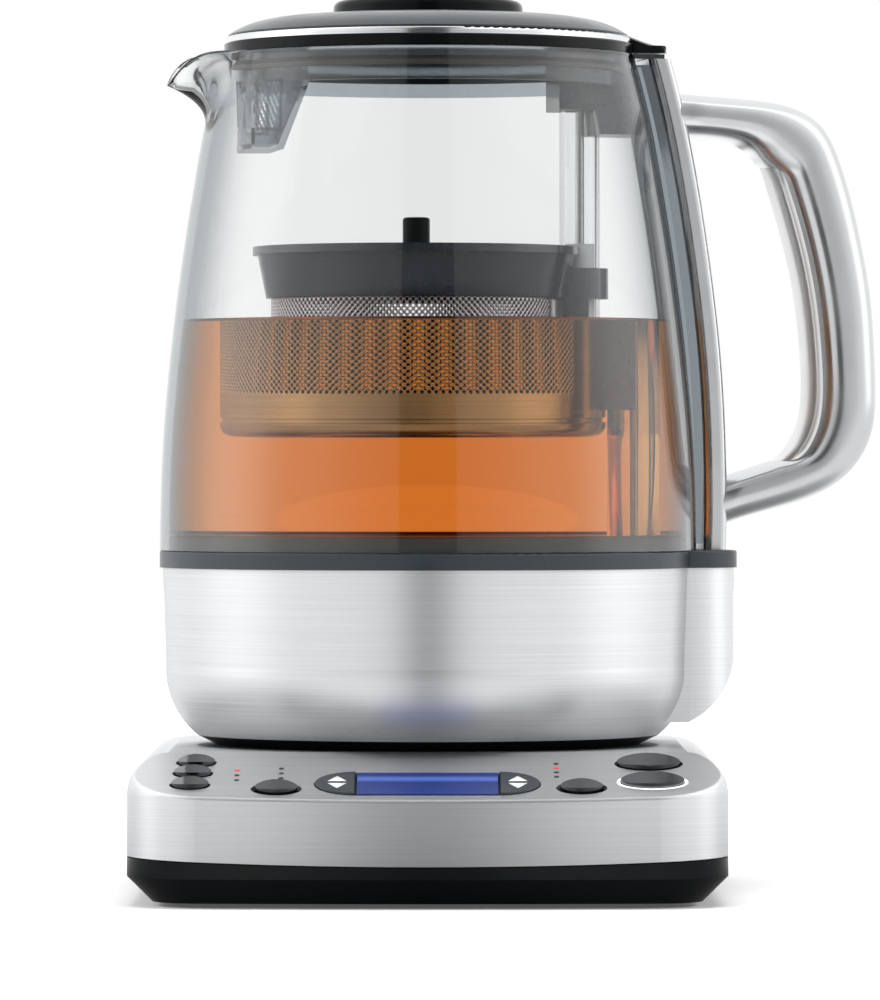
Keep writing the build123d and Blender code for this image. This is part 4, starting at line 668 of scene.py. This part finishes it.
def basket_mesh():
    """Diamond cells, most with a round hole, joined to a plain band and the floor."""
    columns, rows = 2 * HOLES_ROUND, int((HOLE_TOP - HOLE_BOTTOM) / HOLE_ROW)
    step = 2 * math.pi / columns
    points, faces, corners = [], [], {}

    def spot(radius, column, z, aside=0.0):
        angle = TURN + column * step + aside / BASKET_RADIUS
        place = OUT * BASKET_OUT
        return (place.x + radius * math.cos(angle), place.y + radius * math.sin(angle), z)

    def corner(column, row):
        key = (column % columns, row)
        if key not in corners:
            corners[key] = len(points)
            points.append(spot(BASKET_RADIUS, key[0], HOLE_BOTTOM + row * HOLE_ROW))
        return corners[key]

    for row in range(1, rows):
        for column in range(row % 2, columns, 2):
            ring = [corner(column + 1, row), corner(column, row + 1), corner(column - 1, row),
                    corner(column, row - 1)]
            from_post = abs((column * step + math.pi) % (2 * math.pi) - math.pi)
            if from_post < BLIND_HALF or row < 2 or row > rows - 2:
                faces.append(tuple(ring))
                continue
            first = len(points)
            for k in range(8):
                angle = 2 * math.pi * k / 8
                points.append(spot(BASKET_RADIUS, column, HOLE_BOTTOM + row * HOLE_ROW
                                   + HOLE_RADIUS * math.sin(angle), HOLE_RADIUS * math.cos(angle)))
            for k in range(4):
                a, b, c = first + 2 * k, first + (2 * k + 1) % 8, first + (2 * k + 2) % 8
                faces.append((ring[k], ring[(k + 1) % 4], c, b, a))
    # the plain band and the floor hang from the zigzag edge of the cells
    upper = [corner(column, 1 - column % 2) for column in range(columns)]
    for inside, z in BAND_PROFILE:
        lower = list(range(len(points), len(points) + columns))
        points += [spot(BASKET_RADIUS - inside, column, z) for column in range(columns)]
        for c in range(columns):
            d = (c + 1) % columns
            faces.append((upper[c], upper[d], lower[d], lower[c]))
        upper = lower
    points.append(spot(0.0, 0, BASKET_FLOOR))
    faces += [(upper[c], upper[(c + 1) % columns], len(points) - 1) for c in range(columns)]
    return points, faces


basket = turned_out(mesh_object("basket_strainer", *basket_mesh(), fine_steel, 45.0))
basket.data.materials.append(painted_shade_steel)     # painted shade: the inner side is coloured dark to stand for the shade inside the basket
thickened(basket, BASKET_SHEET, -1.0).material_offset = 1
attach(basket, "basket")
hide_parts("basket_cylinder")

# ------------------------------------------------------------------ handle
# outer and inner edge of the handle from the side: distance from the jug's axis, height
HANDLE_EDGES = [((81.0, 260.7), (81.0, 246.2)), ((101.8, 259.2), (98.5, 244.9)),
                ((118.0, 257.2), (106.6, 241.6)), ((129.6, 251.6), (111.6, 235.0)),
                ((136.4, 240.3), (114.8, 226.6)), ((142.5, 219.8), (118.6, 213.6)),
                ((147.6, 192.0), (123.0, 193.6)), ((149.0, 168.0), (125.2, 172.0)),
                ((146.2, 145.0), (123.6, 151.6)), ((136.0, 132.9), (117.6, 142.3)),
                ((120.0, 125.7), (108.6, 138.2)), ((104.5, 121.3), (99.8, 135.4)),
                ((95.0, 118.3), (95.0, 134.0))]
HANDLE_HALF_WIDTH = 13.0
LINING_DEPTH = 4.6              # how deep the lining sits between the fingers and the shell
LINING_SPAN = (0.2, 0.86)       # where it starts and ends along the handle
LINING_FADE = 0.07              # how much of the handle it takes to come out
LINING_OVERLAP = 3.0            # how far it reaches into the shell
END_FADE, END_SLIMMING = 0.05, 0.7    # the handle is slimmer where it meets the strap


def handle_curves():
    """The outer and the inner edge as curves, by the share of the way along the handle."""
    spots = np.array(HANDLE_EDGES).mean(axis=1)
    along = np.concatenate([[0], np.cumsum(np.hypot(*np.diff(spots, axis=0).T))])
    along = along / along[-1]
    return [[cubic(along, [edges[which][k] for edges in HANDLE_EDGES]) for k in (0, 1)]
            for which in (0, 1)]


def lining_here(share):
    """How far the lining has come out at a share of the way along the handle: 0 to 1."""
    start, end = LINING_SPAN
    return step_up(share, start, start + LINING_FADE) * step_up(share, end, end - LINING_FADE)


def shell_section(share, inside, way, outside):
    slimmer = END_SLIMMING * (1 - step_up(share, 0, END_FADE) * step_up(share, 1, 1 - END_FADE))
    near = inside + way * 0.75 * LINING_DEPTH * lining_here(share)
    return near, outside, HANDLE_HALF_WIDTH - slimmer


def lining_section(share, inside, way, outside):
    here = lining_here(share)
    near, far = inside + way * 0.5 * (1 - here), inside + way * (LINING_DEPTH + LINING_OVERLAP)
    return near, far, HANDLE_HALF_WIDTH * (0.55 + 0.2 * here)


def swept(name, section, mat, first=0.0, last=1.0, power=2.5, stations=120, corners=64):
    """A rounded bar along the handle. section gives its two edges and its half width."""
    points = []
    for share in np.linspace(first, last, stations):
        outside = np.array([curve(share) for curve in outer_edge])
        inside = np.array([curve(share) for curve in inner_edge])
        way = (outside - inside) / np.linalg.norm(outside - inside)
        near, far, half_width = section(share, inside, way, outside)
        centre, half = (near + far) / 2, (far - near) / 2
        for corner in range(corners):
            angle = 2 * math.pi * corner / corners
            c, s = math.cos(angle), math.sin(angle)
            spot = centre + half * math.copysign(abs(c) ** (2 / power), c)
            aside = math.copysign(abs(s) ** (2 / power), s) * half_width
            points.append(in_jug(spot[0], -aside, spot[1]))
    faces = [face[::-1] for face in grid_faces(stations, corners)]
    faces.append(tuple(range(corners)))
    faces.append(tuple(range((stations - 1) * corners, stations * corners))[::-1])
    return turned_out(mesh_object(name, points, faces, mat, 50.0))


outer_edge, inner_edge = handle_curves()
handle = swept("handle_grip", shell_section, satin)
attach(handle, "jug")
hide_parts("handle_shell")
strip = swept("handle_strip", lining_section, lining, *LINING_SPAN, power=2.2)
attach(strip, "jug")
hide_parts("handle_insert")

# ------------------------------------------------------------------ lid's sloping tongue
TONGUE_START, TONGUE_END, TONGUE_HALF = 54.0, 78.1, 10.6
tongue_top = cubic([TONGUE_START, 57.4, 63.7, 70.4, TONGUE_END], [282.1, 281.4, 279.7, 277.3, 275.2])
RIM_OUT = 66.7                              # past the lid's rim the tongue reaches further down
FOOT_ON_DOME, FOOT_PAST_RIM = 277.0, 273.4
TAPER, TAPER_FROM = 0.35, 76.6              # how much narrower its end is
SIDE_DROP, END_DROP, DROP_FROM = 1.1, 0.5, 77.2
TONGUE_STATIONS, TONGUE_ACROSS = 22, 17


def tongue_mesh():
    """The cover that runs from the dome's shoulder down over the strap's end."""
    points = []
    for out in np.linspace(TONGUE_START, TONGUE_END, TONGUE_STATIONS):
        foot = FOOT_PAST_RIM if out > RIM_OUT else FOOT_ON_DOME
        half = TONGUE_HALF * (1.0 - TAPER * step_up(out, TAPER_FROM, TONGUE_END))
        points.append(in_jug(out, -half, foot))
        for share in np.linspace(-1, 1, TONGUE_ACROSS):
            drop = SIDE_DROP * abs(share) ** 6 + END_DROP * step_up(out, DROP_FROM, TONGUE_END)
            points.append(in_jug(out, half * share, max(foot, tongue_top(out) - drop)))
        points.append(in_jug(out, half, foot))
    ring = TONGUE_ACROSS + 2
    faces = grid_faces(TONGUE_STATIONS, ring)
    faces.append(tuple(range(ring)))
    faces.append(tuple(range(len(points) - ring, len(points)))[::-1])
    return points, faces


tongue = turned_out(mesh_object("lid_tongue", *tongue_mesh(), black, 35.0))
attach(tongue, "lid")

# ------------------------------------------------------------------ spout filter
FILTER_SIDE, FILTER_SHEET = 15.0, 0.6
FILTER_OUT, FILTER_UP = (-58.85, -50.35), (246.5, 263.5)
FIELD_OUT, FIELD_UP = -57.7, 248.2          # the lowest row's start
DIAMOND_ROWS, DIAMONDS, DIAMOND_HALF = 13, 4, (0.47, 0.85)
DIAMOND_STEP, DIAMOND_LEAN = (1.42, 1.14), 0.29


def filter_outlines():
    """The sheet's corners, then a slanting field of diamond holes, as (out, up)."""
    (near, far), (low, high) = FILTER_OUT, FILTER_UP
    outlines = [[(near, low), (far, low), (far, high), (near, high)]]
    half_wide, half_high = DIAMOND_HALF
    for row in range(DIAMOND_ROWS):
        odd = row % 2
        for column in range(DIAMONDS - odd):
            out = FIELD_OUT + DIAMOND_LEAN * row + DIAMOND_STEP[0] * (column + 0.5 * odd)
            up = FIELD_UP + DIAMOND_STEP[1] * row
            outlines.append([(out - half_wide, up), (out, up - half_high),
                             (out + half_wide, up), (out, up + half_high)])
    return outlines


def filter_sheets():
    """Two upright sheets, one to each side of the pocket."""
    work = bmesh.new()
    for side in (-1, 1):
        edges = []
        for outline in filter_outlines():
            spots = [in_jug(out, side * FILTER_SIDE, up) for out, up in outline]
            ring = [work.verts.new([MM * c for c in spot]) for spot in spots]
            edges += [work.edges.new((ring[k - 1], ring[k])) for k in range(len(ring))]
        bmesh.ops.triangle_fill(work, use_beauty=True, use_dissolve=False, edges=edges,
                                normal=SIDE * side)
    mesh = bpy.data.meshes.new("filter_screen")
    work.to_mesh(mesh)
    work.free()
    made = bpy.data.objects.new("filter_screen", mesh)
    bpy.context.scene.collection.objects.link(made)
    mesh.materials.append(skirt_mat)
    thickened(made, FILTER_SHEET)
    return made


screen_sheets = filter_sheets()
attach(screen_sheets, "lid")
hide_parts("spout_filter")

# ------------------------------------------------------------------ control panel
BASE_LOW, BASE_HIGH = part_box("base_cover")
DECK_HEIGHT, BASE_FRONT = BASE_HIGH[2] / MM, -BASE_LOW[1] / MM
DECK_FRONT, CREASE_HEIGHT = 72.0, 34.2      # where the sloping panel leaves the deck, and its lower end
PANEL_SLOPE = math.atan2(DECK_HEIGHT - CREASE_HEIGHT, BASE_FRONT - DECK_FRONT)
PANEL_LENGTH = (BASE_FRONT - DECK_FRONT) / math.cos(PANEL_SLOPE)
PANEL_EDGE = Vector((0, -DECK_FRONT, DECK_HEIGHT))
PANEL_DOWN = Vector((0, -math.cos(PANEL_SLOPE), -math.sin(PANEL_SLOPE)))
PANEL_UP = Vector((0, -math.sin(PANEL_SLOPE), math.cos(PANEL_SLOPE)))
LIT_LAMPS = [(-59.9, 0.38), (40.5, 0.33)]   # places on the panel of the two lights that are on
DISPLAY_SHARE = 0.66                        # the display's and the rockers' share of the way down
ROCKER_X, ARROW_HALF = 28.3, 3.0
ARROW_LENGTH, ARROW_GAP = 0.105, 0.02       # shares of the way down
PRINT_LIFT, PRINT_THICKNESS, OVER_PANEL = 0.02, 0.04, 20.0
LAMP_DARK = (0.02, 0.022, 0.025, 1)


def on_panel(x, share, lift=0.0):
    """A point on the panel in metres: millimetres across, share of the way down, lift over it."""
    return (Vector((x, 0, 0)) + PANEL_EDGE + PANEL_DOWN * share * PANEL_LENGTH + PANEL_UP * lift) * MM


def display_material():
    """A display that glows blue, with a painted highlight: a paler streak along it."""
    made, s, surface = material("display_blue", (0.01, 0.025, 0.15, 1), 0.12, Specular_IOR_Level=0.2,
                                Emission_Color=(0.03, 0.08, 0.6, 1), Emission_Strength=0.03)
    height = s.split(s.place())[2]
    # painted highlight: a paler blue band over a narrow height
    painted_highlight_streak = s.math("SUBTRACT", s.ramp(height, 0.0392, 0.0402), s.ramp(height, 0.0404, 0.0412))
    s.feed(surface.inputs["Base Color"], s.mix(painted_highlight_streak, (0.007, 0.022, 0.13, 1), (0.06, 0.11, 0.36, 1)))
    return made


def lights_material():
    """Small indicator lights: two are lit red and the rest are dark."""
    made, s, surface = material("indicator_lights", LAMP_DARK, 0.25, Emission_Strength=0.35)
    lit = 0.0
    for x, share in LIT_LAMPS:
        away = s.node("VectorMath", operation="DISTANCE")
        s.feed(away.inputs[0], s.place())
        away.inputs[1].default_value = on_panel(x, share)
        lit = s.math("MAXIMUM", lit, s.ramp(away.outputs["Value"], 0.0014, 0.0018, 1.0, 0.0))
    s.feed(surface.inputs["Base Color"], s.mix(lit, LAMP_DARK, (0.6, 0.02, 0.03, 1)))
    s.feed(surface.inputs["Emission Color"], s.mix(lit, (0, 0, 0, 1), (1.0, 0.03, 0.03, 1)))
    return made


def rocker_arrows(rocker, x):
    """Two arrows printed on a rocker, one up and one down the panel."""
    work = bmesh.new()
    work.from_mesh(nodes[rocker].data)
    face = BVHTree.FromBMesh(work)
    work.free()
    points = []
    for way in (-1, 1):
        foot, tip = DISPLAY_SHARE + way * ARROW_GAP, DISPLAY_SHARE + way * (ARROW_GAP + ARROW_LENGTH)
        for across, share in ((-ARROW_HALF, foot), (ARROW_HALF, foot), (0, tip)):
            hit = face.ray_cast(on_panel(x + across, share, OVER_PANEL), -PANEL_UP)[0]
            points.append(tuple(hit / MM + PANEL_UP * PRINT_LIFT))
    made = mesh_object(rocker + "_arrows", points, [(0, 1, 2), (3, 4, 5)], print_white)
    thickened(made, PRINT_THICKNESS)
    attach(made, rocker)


dress(display_material(), "display_window")
dress(lights_material(), "indicator_lights")
for side, rocker in ((-1, "rocker_left"), (1, "rocker_right")):
    rocker_arrows(rocker, side * ROCKER_X)
